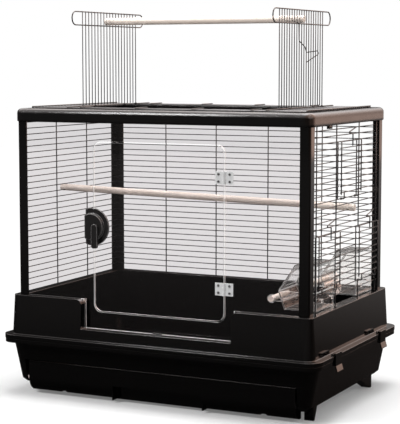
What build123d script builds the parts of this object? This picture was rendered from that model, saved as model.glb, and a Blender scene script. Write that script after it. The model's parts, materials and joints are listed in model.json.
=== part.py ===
"""Bird cage with a clear front door, wire sides, an opening roof and a pull-out base drawer.

Millimetres, +Z up, origin at the middle of the footprint on the floor, front towards -Y.
"""

from build123d import *
from math import atan2, degrees
import os

os.makedirs("parts", exist_ok=True)

# Overall plan of the rim where the cage stands on its base
rim_w = 798.0
rim_d = 534.0
rim_corner_r = 34.0
flange_reach = 1.0
foot_h = 28.0
rim_bottom_z = 124.8
rim_t = 9.4
flange_t = 9.2

# Base housing
base_top_inset_x = 13.4
base_draft = 19.6
base_wall = 3.0
base_floor_t = 3.0
base_corner_r = 40.0
base_bottom_chamfer = 8.0
foot_w = 21.4
front_foot_len_bottom = 8.0
front_foot_len_top = 24.0
back_foot_len_bottom = 10.0
back_foot_len_top = 82.0
foot_side_inset = 27.0
foot_end_inset = 46.7
foot_root = 5.0

# Drawer
drawer_opening_inset = 54.0
drawer_opening_top_z = 84.0
drawer_side_gap = 7.0
drawer_top_gap = 3.5
drawer_gap = 0.5
drawer_front_inset = 29.0
drawer_front_r = 30.0
drawer_low_z = 7.0
drawer_wall = 3.0
drawer_box_inset = 8.0
drawer_back_gap = 9.0
drawer_well_depth = 35.0
grip_w = 226.0
grip_top_z = 40.0
grip_depth = 22.0
grip_corner_r = 10.0
drawer_notch_inset = 83.0
drawer_notch_w = 20.0
drawer_notch_h = 7.0

# Seed-guard skirt
skirt_top_z = 235.5
skirt_inset_x = 22.1
skirt_inset_y = 21.5
skirt_corner_r = 15.0
skirt_flare = 6.1
skirt_wall = 3.0
skirt_section = 25.0
skirt_inner_low_z = 110.0
cutout_w = 380.0
cutout_z = 168.0
cutout_top_r = 12.0
cutout_low_r = 3.5
tab_w = 22.0
tab_h = 4.0
tab_t = 4.0

# Corner posts
post_leg = 24.0
post_t = 3.3
post_corner_r = 6.0
post_inset_x = 10.6
post_inset_y = 14.5
post_seat = 10.0
socket_gap = 0.2

# Roof frame
roof_z = 640.6
roof_h = 30.4
roof_rail = 31.3
roof_over_post_x = 5.0
roof_over_post_y = 8.9
roof_corner_r = 22.0
roof_top_r = 11.0
roof_low_chamfer = 2.0
roof_inner_wall = 3.0
roof_top_wall = 6.0
roof_lug_w = 20.0
roof_lug_h = 10.0
roof_lug_t = 6.0
roof_lug_ys = (-165.0, -60.0)

# Wire panels
wire_d = 2.2
wire_flat = 0.9
upright_d = 2.8
wire_pitch = 14.25
wire_end_gap = 0.2
wire_seat_gap = 0.1
back_first_wire = 17.4
right_first_wire = 24.6
back_upright_pitch = 142.8
left_upright_y = 71.4
right_upright_ys = (-190.0, -71.4, 71.4, 190.0)

# Clear front panel and door
panel_t = 3.0
panel_post_gap = 0.3
panel_side_inset = 6.0
tongue_side_gap = 2.0
tongue_low_gap = 0.3
door_w = 326.0
door_z = 210.0
door_h = 386.0
door_gap = 3.0
door_corner_r = 18.0

# Door hinges
hinge_h = 28.0
hinge_low_rise = 72.0
hinge_high_drop = 69.0
hinge_leaf_w = 21.5
hinge_leaf_t = 2.0
knuckle_r = 3.0
knuckle_gap = 0.4
hinge_pin_r = 1.25
pin_gap = 0.05
hinge_screw_x = 13.5
hinge_screw_dz = 8.0
screw_head_d = 5.2
screw_head_t = 1.2

# Door latch
latch_rise = 194.0
latch_edge_inset = 8.0
latch_arc_shift = 12.0
latch_plate_r = 43.0
latch_dome_r = 31.0
latch_flat_shift = 29.0
latch_plate_t = 4.0
latch_dome_t = 7.0
latch_stand = 0.6
latch_seat_w = 14.0
latch_seat_h = 40.0
latch_edge_chamfer = 1.5
spindle_r = 4.0
latch_turn_gap = 0.3
lever_len = 48.0
lever_w = 15.0
lever_t = 6.0
cam_len = 32.0
cam_w = 14.0
cam_t = 3.0

# Roof grille and flaps
roof_open_w = 500.0
roof_open_wires = 9
grille_seat = 5.0
strip_upright_xs = (71.4, 214.2)
flap_wires = 19
flap_low_bar = 189.4
hoop_d = 3.0
hoop_r = 15.5
hoop_reach = 155.0
hoop_chords = 8
eye_len = 5.0
eye_wall = 1.5
eye_room = 0.8
flap_eye_ids = (0, 4, 14, 18)
flap_foot_gap = 0.4
flap_latch_d = 2.2
flap_latch_ease = 3.0
flap_latch_route = (
    (-12.0, 0.0),
    (-10.0, -38.0),
    (26.0, -52.0),
    (35.0, -64.0),
    (104.0, -60.0),
    (111.0, -67.0),
    (33.0, -87.0),
)

# Perches
top_perch_d = 17.0
top_perch_left_over = 2.2
top_perch_right_over = 12.0
perch_slot_w = 3.6
perch_rest_gap = 0.3
perch_left_slot = 6.0
perch_right_slot = 16.0
inner_perch_d = 16.0
inner_perch_over = 14.0
inner_perch_lift = 4.6
inner_perch_left_y = -22.0
inner_perch_right_y = 17.0
inner_perch_left_wire = 15
inner_perch_right_wire = 13
notch_gap = 0.2

# Feeder doors on the right side
feeder_door_w = 130.0
feeder_door_rows = 9
feeder_open_inset = 5.0
feeder_doors = {
    "upper": (10.0, 15),
    "front": (-121.0, 1),
    "rear": (130.0, 1),
}
feeder_door_gap = 0.3
feeder_foot_gap = 10.0
feeder_eye_inset = 20.0
handle_d = 2.8
handle_leg_y = 7.0
handle_leg_h = 15.0
handle_root = 12.0
handle_tilt = 3.0
handle_rise = 14.0
handle_w = 54.0

# Hooded feeders
feeder_ys = {"front": -119.0, "rear": 131.0}
feeder_w = 104.0
feeder_wall = 2.0
feeder_eye_gap = 0.4
feeder_hook_w = 8.0
feeder_hook_y = 30.0
feeder_hook_t = 2.0
feeder_hook_drop = 5.0
feeder_hook_gap = 0.1
feeder_low_z = 238.0
feeder_cup_h = 40.0
feeder_hood_h = 60.0
feeder_foot_depth = 75.0
feeder_lip_depth = 90.0
feeder_top_depth = 51.0
feeder_hole_w = 72.0
feeder_hole_h = 34.0
feeder_hole_r = 12.0
feeder_hole_lift = 10.0
feeder_bulge_r = 10.0
stick_d = 13.0
stick_len = 90.0
stick_depth = 110.0
stick_z = 20.0
stick_arm_w = 5.0
stick_arm_in = 3.0
stick_arm_r = 9.0
stick_arm_len = 28.0
stick_arm_clear = 26.0

# Base clips
clip_w = 36.0
clip_y = 146.0
clip_barrel_r = 2.4
clip_barrel_in = 5.0
clip_pin_r = 1.2
clip_ear_t = 3.5
clip_ear_gap = 0.3
clip_t = 2.6
clip_side_gap = 0.4
clip_low_gap = 0.8
clip_hook_reach = 8.0
clip_tab_drop = 14.0
clip_tab_flare = 4.0
clip_lift = 0.4

# Worked out from the values above
rim_top_z = rim_bottom_z + rim_t
flange_top_z = rim_top_z + flange_t
flange_w = rim_w + 2 * flange_reach
flange_d = rim_d + 2 * flange_reach
base_top_w = rim_w - 2 * base_top_inset_x
base_top_d = rim_d - 2 * base_top_inset_x
base_low_w = base_top_w - 2 * base_draft
base_low_d = base_top_d - 2 * base_draft
base_h = rim_bottom_z - foot_h
base_taper = degrees(atan2(base_draft, base_h))
floor_top_z = foot_h + base_floor_t
foot_side_x = base_low_w / 2 - foot_side_inset
foot_outer_y = base_low_d / 2 - foot_end_inset
drawer_opening_w = rim_w - 2 * drawer_opening_inset
drawer_front_w = drawer_opening_w - 2 * drawer_side_gap
drawer_box_w = drawer_front_w - 2 * drawer_box_inset
drawer_front_y = -(rim_d / 2 - drawer_front_inset)
drawer_well_back_y = drawer_front_y + drawer_well_depth
drawer_box_back_y = base_low_d / 2 - base_wall - drawer_back_gap
drawer_notch_x = drawer_front_w / 2 - drawer_notch_inset
skirt_w = rim_w - 2 * skirt_inset_x
skirt_d = rim_d - 2 * skirt_inset_y
skirt_taper = degrees(atan2(skirt_flare, skirt_top_z - rim_top_z))
inner_w = skirt_w - 2 * skirt_section
inner_d = skirt_d - 2 * skirt_section
post_x = skirt_w / 2 - post_inset_x
post_y = skirt_d / 2 - post_inset_y
post_top_z = roof_z + roof_h - roof_top_wall
roof_top_z = roof_z + roof_h
roof_w = 2 * (post_x + roof_over_post_x)
roof_d = 2 * (post_y + roof_over_post_y)
roof_opening_x = roof_w / 2 - roof_rail
roof_opening_y = roof_d / 2 - roof_rail
wire_r = wire_d / 2
upright_r = upright_d / 2
side_x = post_x - post_t - wire_seat_gap - wire_r
back_y = post_y - post_t - wire_seat_gap - wire_r
panel_h = roof_z - skirt_top_z
wire_rows = int((panel_h - back_first_wire) // wire_pitch) + 1
right_rows = int((panel_h - right_first_wire) // wire_pitch) + 1
panel_front_y = -(post_y - post_t - panel_post_gap)
panel_back_y = panel_front_y + panel_t


def wire_profile(diameter, mode=Mode.ADD):
    """Eight-sided section of a wire or of a small bore, flats square to the grid."""
    RegularPolygon(
        radius=diameter / 2, side_count=8, major_radius=False, rotation=22.5, mode=mode
    )


def grid_profile(diameter):
    """Four-sided section of a straight grid wire, of about its round section's area."""
    Rectangle(wire_flat * diameter, wire_flat * diameter)


def bent_route(corners, ease):
    """Points of a bent wire, with each bend cut by a short chord."""
    route = [Vector(corners[0])]
    for before, corner, after in zip(corners, corners[1:], corners[2:]):
        bend = Vector(corner)
        route.append(bend + (Vector(before) - bend).normalized() * ease)
        route.append(bend + (Vector(after) - bend).normalized() * ease)
    route.append(Vector(corners[-1]))
    return route


def side_row_z(first, row):
    """Height of one row of grid wire."""
    return skirt_top_z + first + row * wire_pitch


# Base housing with corner feet and rim
with BuildPart() as base_hollow:
    with BuildSketch(Plane.XY.offset(rim_top_z)):
        RectangleRounded(
            base_top_w - 2 * base_wall, base_top_d - 2 * base_wall, base_corner_r - base_wall
        )
    extrude(amount=-(rim_top_z - floor_top_z), taper=base_taper)
    chamfer(
        base_hollow.faces().sort_by(Axis.Z)[0].edges(), length=base_bottom_chamfer - base_wall
    )

with BuildPart() as base_housing:
    with BuildSketch(Plane.XY.offset(rim_bottom_z)):
        RectangleRounded(base_top_w, base_top_d, base_corner_r)
    extrude(amount=-base_h, taper=base_taper)
    chamfer(base_housing.faces().sort_by(Axis.Z)[0].edges(), length=base_bottom_chamfer)
    with BuildSketch(Plane.XY.offset(rim_bottom_z)):
        RectangleRounded(rim_w, rim_d, rim_corner_r)
    extrude(amount=rim_t)
    add(base_hollow.part, mode=Mode.SUBTRACT)
    for side in (-1, 1):
        for end, len_bottom, len_top in (
            (-1, front_foot_len_bottom, front_foot_len_top),
            (1, back_foot_len_bottom, back_foot_len_top),
        ):
            with BuildSketch(Plane.YZ.offset(side * foot_side_x)):
                with BuildLine():
                    Polyline(
                        (end * (foot_outer_y - len_bottom), 0),
                        (end * foot_outer_y, 0),
                        (end * foot_outer_y, foot_h + foot_root),
                        (end * (foot_outer_y - len_top), foot_h + foot_root),
                        close=True,
                    )
                make_face()
            extrude(amount=side * foot_w)
    with BuildSketch(Plane.XZ.offset(-drawer_well_back_y)):
        with Locations((0, drawer_opening_top_z / 2)):
            Rectangle(drawer_opening_w, drawer_opening_top_z)
    extrude(amount=rim_d, mode=Mode.SUBTRACT)
base_housing.part.label = "base_housing"
export_step(base_housing.part, "parts/base_housing.step")

# Pull-out drawer: a moulded front with a grip recess and a shallow box behind it
drawer_top_z = drawer_opening_top_z - drawer_top_gap
drawer_floor_z = floor_top_z + drawer_gap
front_arc_z = drawer_low_z + drawer_front_r
well_inner_y = drawer_front_y + drawer_wall


def drawer_front_outline(inset):
    """Side outline of the drawer front, drawn inwards by the inset."""
    front_y = drawer_front_y + inset
    back_y_in = drawer_well_back_y - inset
    low_z = drawer_low_z + inset
    high_z = drawer_top_z - inset
    with BuildLine() as outline:
        Line((front_y, high_z), (front_y, front_arc_z))
        RadiusArc(
            (front_y, front_arc_z),
            (drawer_front_y + drawer_front_r, low_z),
            -(drawer_front_r - inset),
        )
        Polyline(
            (drawer_front_y + drawer_front_r, low_z),
            (back_y_in, low_z),
            (back_y_in, high_z),
            (front_y, high_z),
        )
    make_face(outline.edges())


with BuildPart() as drawer:
    with BuildSketch(Plane.YZ):
        drawer_front_outline(0)
    extrude(amount=drawer_front_w / 2, both=True)
    with BuildSketch(Plane.XY.offset(drawer_floor_z)):
        with Locations((0, (drawer_box_back_y + drawer_well_back_y) / 2)):
            Rectangle(drawer_box_w, drawer_box_back_y - drawer_well_back_y)
    extrude(amount=drawer_top_z - drawer_floor_z)
    with BuildSketch(Plane.XY.offset(drawer_floor_z + drawer_wall)):
        with Locations((0, (drawer_box_back_y + drawer_well_back_y) / 2)):
            Rectangle(
                drawer_box_w - 2 * drawer_wall,
                drawer_box_back_y - drawer_well_back_y - 2 * drawer_wall,
            )
    extrude(amount=drawer_top_z, mode=Mode.SUBTRACT)
    with BuildSketch(Plane.YZ):
        drawer_front_outline(drawer_wall)
    extrude(amount=drawer_front_w / 2 - drawer_wall, both=True, mode=Mode.SUBTRACT)
    with BuildSketch(Plane.XY.offset(drawer_low_z)):
        with Locations((0, (well_inner_y + drawer_well_back_y) / 2)):
            Rectangle(grip_w + 2 * drawer_wall, drawer_well_back_y - well_inner_y)
    extrude(amount=grip_top_z + drawer_wall - drawer_low_z)
    with BuildSketch(Plane.XZ.offset(-drawer_front_y)):
        with Locations((0, grip_top_z / 2)):
            Rectangle(grip_w, grip_top_z)
    extrude(amount=-grip_depth, mode=Mode.SUBTRACT)
    with BuildSketch(Plane.XZ.offset(-drawer_well_back_y)):
        with Locations(
            (-drawer_notch_x, drawer_low_z + drawer_notch_h / 2),
            (drawer_notch_x, drawer_low_z + drawer_notch_h / 2),
        ):
            Rectangle(drawer_notch_w, drawer_notch_h)
    extrude(amount=rim_d / 2, mode=Mode.SUBTRACT)
drawer.part.label = "drawer"
export_step(drawer.part, "parts/drawer.step")

# Seed-guard skirt: hollow double wall on a flange, cut low at the front door
cutout_y = -(skirt_d / 2 - skirt_section - skirt_wall)


def cutout_outline(grow):
    """Front cut-out seen from the front, widened and lowered by grow."""
    low_z = cutout_z - grow
    height = skirt_top_z + skirt_section - low_z
    with Locations((0, low_z + height / 2)):
        Rectangle(cutout_w + 2 * grow, height)
    flare_h = skirt_section + cutout_top_r + grow
    with Locations((0, skirt_top_z - cutout_top_r - grow + flare_h / 2)):
        Rectangle(cutout_w + 2 * cutout_top_r + 2 * grow, flare_h)
    with Locations(
        (-(cutout_w / 2 + cutout_top_r), skirt_top_z - cutout_top_r),
        ((cutout_w / 2 + cutout_top_r), skirt_top_z - cutout_top_r),
    ):
        Circle(cutout_top_r - grow, mode=Mode.SUBTRACT)


with BuildPart() as skirt_hollow:
    with BuildSketch(Plane.XY.offset(rim_top_z)) as hollow_outline:
        Rectangle(
            skirt_w + 2 * skirt_flare - 2 * skirt_wall,
            skirt_d + 2 * skirt_flare - 2 * skirt_wall,
        )
        chamfer(hollow_outline.vertices(), length=skirt_corner_r)
    extrude(amount=skirt_top_z - skirt_wall - rim_top_z, taper=skirt_taper)
    with BuildSketch(Plane.XY):
        Rectangle(inner_w + 2 * skirt_wall, inner_d + 2 * skirt_wall)
    extrude(amount=skirt_top_z, mode=Mode.SUBTRACT)
    with BuildSketch(Plane.XZ.offset(-cutout_y)):
        cutout_outline(skirt_wall)
    extrude(amount=rim_d, mode=Mode.SUBTRACT)

with BuildPart() as skirt:
    with BuildSketch(Plane.XY.offset(rim_top_z)):
        RectangleRounded(
            skirt_w + 2 * skirt_flare, skirt_d + 2 * skirt_flare, skirt_corner_r + skirt_flare
        )
    extrude(amount=skirt_top_z - rim_top_z, taper=skirt_taper)
    with BuildSketch(Plane.XY.offset(rim_top_z)):
        RectangleRounded(flange_w, flange_d, rim_corner_r + flange_reach)
    extrude(amount=flange_t)
    add(skirt_hollow.part, mode=Mode.SUBTRACT)
    with BuildSketch(Plane.XY.offset(skirt_inner_low_z)):
        Rectangle(inner_w + 2 * skirt_wall, inner_d + 2 * skirt_wall)
    extrude(amount=rim_top_z - skirt_inner_low_z)
    with BuildSketch(Plane.XY):
        Rectangle(inner_w, inner_d)
    extrude(amount=skirt_top_z, mode=Mode.SUBTRACT)
    with BuildSketch(Plane.XZ.offset(-cutout_y)):
        cutout_outline(0)
    extrude(amount=rim_d, mode=Mode.SUBTRACT)
    for side_x_sign in (-1, 1):
        for side_y_sign in (-1, 1):
            corner_x = side_x_sign * post_x
            corner_y = side_y_sign * post_y
            with BuildSketch(Plane.XY.offset(skirt_top_z - post_seat)):
                with Locations((corner_x - side_x_sign * post_leg / 2, corner_y
                                - side_y_sign * post_t / 2)):
                    Rectangle(post_leg + 2 * socket_gap, post_t + 2 * socket_gap)
                with Locations((corner_x - side_x_sign * post_t / 2, corner_y
                                - side_y_sign * post_leg / 2)):
                    Rectangle(post_t + 2 * socket_gap, post_leg + 2 * socket_gap)
            extrude(amount=2 * post_seat, mode=Mode.SUBTRACT)
    with BuildSketch(Plane.XY.offset(cutout_z)):
        with Locations((0, panel_front_y - tab_t)):
            Rectangle(tab_w, tab_t)
    extrude(amount=tab_h)
    ear_x = flange_w / 2 - clip_barrel_in
    ear_z = flange_top_z + clip_barrel_r + clip_lift
    ear_step = clip_w / 2 + clip_ear_gap + clip_ear_t / 2
    for side in (-1, 1):
        for row_y in (-clip_y, clip_y):
            for end in (-1, 1):
                with BuildSketch(Plane.XZ.offset(-(row_y + end * ear_step))):
                    with Locations((side * ear_x, ear_z)):
                        wire_profile(2 * clip_barrel_r)
                    with Locations((side * ear_x, (ear_z + flange_top_z) / 2)):
                        Rectangle(2 * clip_barrel_r, ear_z - flange_top_z)
                    with Locations((side * ear_x, ear_z)):
                        wire_profile(2 * (clip_pin_r + pin_gap), mode=Mode.SUBTRACT)
                extrude(amount=clip_ear_t / 2, both=True)
skirt.part.label = "skirt"
export_step(skirt.part, "parts/skirt.step")

# Four L-section corner posts, seated in the skirt and in the roof frame
corners = {
    "post_front_left": (-1, -1),
    "post_front_right": (1, -1),
    "post_back_left": (-1, 1),
    "post_back_right": (1, 1),
}
for post_name, (sx, sy) in corners.items():
    with BuildPart() as post:
        with BuildSketch(Plane.XY.offset(skirt_top_z - post_seat)) as post_outline:
            with Locations((sx * (post_x - post_leg / 2), sy * (post_y - post_t / 2))):
                Rectangle(post_leg, post_t)
            with Locations((sx * (post_x - post_t / 2), sy * (post_y - post_leg / 2))):
                Rectangle(post_t, post_leg)
            outer_corner = post_outline.vertices().sort_by_distance((sx * rim_w, sy * rim_d))[0]
            fillet(outer_corner, radius=post_corner_r)
        extrude(amount=post_top_z - skirt_top_z + post_seat)
    post.part.label = post_name
    export_step(post.part, f"parts/{post_name}.step")

# Roof frame: bullnosed rim, open channel below for the posts
with BuildPart() as roof_frame:
    with BuildSketch(Plane.XY.offset(roof_z)):
        RectangleRounded(roof_w, roof_d, roof_corner_r)
    extrude(amount=roof_h)
    fillet(roof_frame.faces().sort_by(Axis.Z)[-1].edges(), radius=roof_top_r)
    chamfer(roof_frame.faces().sort_by(Axis.Z)[0].edges(), length=roof_low_chamfer)
    with BuildSketch(Plane.XY.offset(roof_z)):
        Rectangle(2 * roof_opening_x, 2 * roof_opening_y)
    extrude(amount=roof_h, mode=Mode.SUBTRACT)
    with BuildSketch(Plane.XY.offset(roof_z)):
        RectangleRounded(
            2 * (post_x + socket_gap),
            2 * (post_y + socket_gap),
            post_corner_r + socket_gap,
        )
        Rectangle(
            2 * (roof_opening_x + roof_inner_wall),
            2 * (roof_opening_y + roof_inner_wall),
            mode=Mode.SUBTRACT,
        )
    extrude(amount=roof_h - roof_top_wall, mode=Mode.SUBTRACT)
    with BuildSketch(Plane.XY.offset(roof_z)):
        with Locations(*[(roof_opening_x + roof_lug_t / 2, y) for y in roof_lug_ys]):
            Rectangle(roof_lug_t, roof_lug_w)
    extrude(amount=-roof_lug_h)
roof_frame.part.label = "roof_frame"
export_step(roof_frame.part, "parts/roof_frame.step")

# Back wire panel
with BuildPart() as back_wires:
    with BuildSketch(Plane.YZ):
        with Locations(*[(back_y, side_row_z(back_first_wire, k)) for k in range(wire_rows)]):
            grid_profile(wire_d)
    extrude(amount=side_x - wire_r - wire_end_gap, both=True)
back_wires.part.label = "back_wires"
export_step(back_wires.part, "parts/back_wires.step")

with BuildPart() as back_uprights:
    with BuildSketch(Plane.XY.offset(skirt_top_z)):
        with Locations((0, back_y - wire_r - upright_r)):
            with GridLocations(back_upright_pitch, 1, 4, 1):
                grid_profile(upright_d)
    extrude(amount=panel_h)
back_uprights.part.label = "back_uprights"
export_step(back_uprights.part, "parts/back_uprights.step")

# Left wire panel
side_reach = post_y - post_t - wire_end_gap
with BuildPart() as left_wires:
    with BuildSketch(Plane.XZ):
        with Locations(*[(-side_x, side_row_z(back_first_wire, k)) for k in range(wire_rows)]):
            grid_profile(wire_d)
    extrude(amount=side_reach, both=True)
left_wires.part.label = "left_wires"
export_step(left_wires.part, "parts/left_wires.step")

with BuildPart() as left_uprights:
    with BuildSketch(Plane.XY.offset(skirt_top_z)):
        with Locations(
            (-(side_x - wire_r - upright_r), -left_upright_y),
            (-(side_x - wire_r - upright_r), left_upright_y),
        ):
            grid_profile(upright_d)
    extrude(amount=panel_h)
left_uprights.part.label = "left_uprights"
export_step(left_uprights.part, "parts/left_uprights.step")

# Right wire panel: three door openings, each edged by two short uprights
open_half = feeder_door_w / 2 - feeder_open_inset
hinge_rows = {hinge_row for _, hinge_row in feeder_doors.values()}
upright_x = side_x + wire_r + upright_r


def wire_spans(row):
    """Stretches of one right-hand wire that the door openings leave, as (start, end)."""
    spans = [(-side_reach, side_reach)]
    for door_y, hinge_row in feeder_doors.values():
        if hinge_row < row < hinge_row + feeder_door_rows:
            cut = []
            for start, end in spans:
                if start < door_y - open_half < end:
                    cut.append((start, door_y - open_half + upright_r))
                    cut.append((door_y + open_half - upright_r, end))
                else:
                    cut.append((start, end))
            spans = cut
    return spans


with BuildPart() as right_wires:
    for row in range(right_rows):
        for start, end in wire_spans(row):
            with BuildSketch(Plane.XZ.offset(-start)):
                with Locations((side_x, side_row_z(right_first_wire, row))):
                    if row in hinge_rows:
                        Circle(wire_r)
                    else:
                        grid_profile(wire_d)
            extrude(amount=start - end)
right_wires.part.label = "right_wires"
export_step(right_wires.part, "parts/right_wires.step")


def upright_spans(y):
    """Stretches of one right-hand upright that the door openings leave, as (low, high)."""
    spans = [(skirt_top_z, roof_z)]
    for door_y, hinge_row in feeder_doors.values():
        if abs(y - door_y) < open_half:
            low, high = spans.pop()
            sill_z = side_row_z(right_first_wire, hinge_row)
            spans.append((low, sill_z + wire_r))
            spans.append((sill_z + feeder_door_rows * wire_pitch - wire_r, high))
    return spans


with BuildPart() as right_uprights:
    for upright_y in right_upright_ys:
        for low, high in upright_spans(upright_y):
            with BuildSketch(Plane.XY.offset(low)):
                with Locations((upright_x, upright_y)):
                    grid_profile(upright_d)
            extrude(amount=high - low)
    for door_y, hinge_row in feeder_doors.values():
        with BuildSketch(Plane.XY.offset(side_row_z(right_first_wire, hinge_row))):
            with Locations(
                (side_x - wire_r - upright_r, door_y - open_half),
                (side_x - wire_r - upright_r, door_y + open_half),
            ):
                grid_profile(upright_d)
        extrude(amount=feeder_door_rows * wire_pitch)
right_uprights.part.label = "right_uprights"
export_step(right_uprights.part, "parts/right_uprights.step")

# Clear front panel with the door opening, and the door
opening_r = door_corner_r + door_gap / 2
with BuildPart() as front_panel:
    with BuildSketch(Plane.XZ.offset(-panel_back_y)):
        with Locations((0, skirt_top_z + panel_h / 2)):
            Rectangle(2 * (post_x - post_t - panel_side_inset), panel_h)
        tongue_z = cutout_z + tongue_low_gap
        with Locations((0, (tongue_z + skirt_top_z) / 2)):
            Rectangle(cutout_w - 2 * tongue_side_gap, skirt_top_z - tongue_z)
        with Locations((0, door_z + door_h / 2)):
            RectangleRounded(
                door_w + 2 * door_gap, door_h + 2 * door_gap, opening_r, mode=Mode.SUBTRACT
            )
    extrude(amount=panel_t)
front_panel.part.label = "front_panel"
export_step(front_panel.part, "parts/front_panel.step")

latch_x = -(door_w / 2 - latch_edge_inset)
latch_z = door_z + latch_rise
with BuildPart() as front_door:
    with BuildSketch(Plane.XZ.offset(-panel_back_y)):
        with Locations((0, door_z + door_h / 2)):
            RectangleRounded(door_w, door_h, door_corner_r)
        with Locations((latch_x, latch_z)):
            Circle(spindle_r + latch_turn_gap, mode=Mode.SUBTRACT)
    extrude(amount=panel_t)
front_door.part.label = "front_door"
export_step(front_door.part, "parts/front_door.step")

# Butt hinges: outer knuckles on the panel leaf, middle knuckle on the door leaf
hinge_x = door_w / 2 + door_gap / 2
hinge_zs = (door_z + hinge_low_rise, door_z + door_h - hinge_high_drop)
knuckle_y = panel_front_y - knuckle_r
knuckle_h = hinge_h / 3
for hinge_name, hinge_z in zip(("lower", "upper"), hinge_zs):
    low_z = hinge_z - hinge_h / 2
    for leaf_name, side in (("panel", 1), ("door", -1)):
        with BuildPart() as leaf:
            with BuildSketch(Plane.XZ.offset(-panel_front_y)):
                with Locations(
                    (hinge_x + side * (knuckle_gap + hinge_leaf_w) / 2, hinge_z)
                ):
                    Rectangle(hinge_leaf_w - knuckle_gap, hinge_h)
            extrude(amount=hinge_leaf_t)
            with BuildSketch(Plane.XY.offset(low_z)):
                with Locations((hinge_x, knuckle_y)):
                    wire_profile(2 * knuckle_r)
            extrude(amount=hinge_h)
            with BuildSketch(Plane.XY.offset(low_z)):
                with Locations((hinge_x, knuckle_y)):
                    wire_profile(2 * (hinge_pin_r + pin_gap))
            extrude(amount=hinge_h, mode=Mode.SUBTRACT)
            if side > 0:
                cuts = [(hinge_z - knuckle_h / 2, knuckle_h)]
            else:
                cuts = [
                    (low_z, knuckle_h + knuckle_gap),
                    (hinge_z + knuckle_h / 2 - knuckle_gap, knuckle_h + knuckle_gap),
                ]
            for cut_z, cut_h in cuts:
                with BuildSketch(Plane.XY.offset(cut_z)):
                    with Locations((hinge_x, knuckle_y)):
                        Rectangle(2 * (knuckle_r + knuckle_gap), 2 * (knuckle_r + knuckle_gap))
                extrude(amount=cut_h, mode=Mode.SUBTRACT)
        leaf.part.label = f"hinge_{hinge_name}_{leaf_name}_leaf"
        export_step(leaf.part, f"parts/hinge_{hinge_name}_{leaf_name}_leaf.step")
        with BuildPart() as screws:
            with BuildSketch(Plane.XZ.offset(hinge_leaf_t - panel_front_y)):
                with Locations(
                    (hinge_x + side * hinge_screw_x, hinge_z - hinge_screw_dz),
                    (hinge_x + side * hinge_screw_x, hinge_z + hinge_screw_dz),
                ):
                    wire_profile(screw_head_d)
            extrude(amount=screw_head_t)
        screws.part.label = f"hinge_{hinge_name}_{leaf_name}_screws"
        export_step(screws.part, f"parts/hinge_{hinge_name}_{leaf_name}_screws.step")
    with BuildPart() as hinge_pin:
        with BuildSketch(Plane.XY.offset(low_z)):
            with Locations((hinge_x, knuckle_y)):
                Circle(hinge_pin_r)
        extrude(amount=hinge_h)
    hinge_pin.part.label = f"hinge_{hinge_name}_pin"
    export_step(hinge_pin.part, f"parts/hinge_{hinge_name}_pin.step")

# Latch: D-shaped housing on the door, lever in front, cam behind the sheet
plate_y = panel_front_y - latch_stand
dome_y = plate_y - latch_plate_t
lever_y = dome_y - latch_dome_t
cam_y = panel_back_y + latch_turn_gap
latch_arc_x = latch_x - latch_arc_shift
latch_flat_x = latch_x - latch_flat_shift


def latch_outline(radius):
    """D-shaped outline: a circle with a flat side away from the hinges."""
    with Locations((latch_arc_x, latch_z)):
        Circle(radius)
    with Locations((latch_flat_x - radius, latch_z)):
        Rectangle(2 * radius, 3 * radius, mode=Mode.SUBTRACT)


with BuildPart() as latch_housing:
    with BuildSketch(Plane.XZ.offset(-plate_y)):
        latch_outline(latch_plate_r)
    extrude(amount=latch_plate_t)
    with BuildSketch(Plane.XZ.offset(-dome_y)):
        latch_outline(latch_dome_r)
    extrude(amount=latch_dome_t)
    chamfer(latch_housing.faces().sort_by(Axis.Y)[0].edges(), length=latch_edge_chamfer)
    with BuildSketch(Plane.XZ.offset(-panel_front_y)):
        with Locations((latch_x, latch_z)):
            Rectangle(latch_seat_w, latch_seat_h)
    extrude(amount=latch_stand)
    with BuildSketch(Plane.XZ.offset(-panel_front_y)):
        with Locations((latch_x, latch_z)):
            Circle(spindle_r + pin_gap)
    extrude(amount=latch_stand + latch_plate_t + latch_dome_t, mode=Mode.SUBTRACT)
latch_housing.part.label = "latch_housing"
export_step(latch_housing.part, "parts/latch_housing.step")

with BuildPart() as latch_lever:
    with BuildSketch(Plane.XZ.offset(-lever_y + latch_turn_gap)):
        with Locations((latch_x, latch_z)):
            Circle(lever_w / 2)
        with Locations((latch_x, latch_z - lever_len / 2)):
            Rectangle(lever_w, lever_len)
    extrude(amount=lever_t)
    fillet(latch_lever.edges().filter_by(Axis.Y).sort_by(Axis.Z)[0:2], radius=lever_w / 3)
    with BuildSketch(Plane.XZ.offset(-cam_y)):
        with Locations((latch_x, latch_z)):
            Circle(spindle_r)
    extrude(amount=cam_y - lever_y + latch_turn_gap)
latch_lever.part.label = "latch_lever"
export_step(latch_lever.part, "parts/latch_lever.step")

with BuildPart() as latch_cam:
    with BuildSketch(Plane.XZ.offset(-cam_y - cam_t)):
        with Locations((latch_x, latch_z)):
            Circle(cam_w / 2)
        with Locations((latch_x, latch_z - cam_len / 2)):
            Rectangle(cam_w, cam_len)
    extrude(amount=cam_t)
latch_cam.part.label = "latch_cam"
export_step(latch_cam.part, "parts/latch_cam.step")

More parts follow.
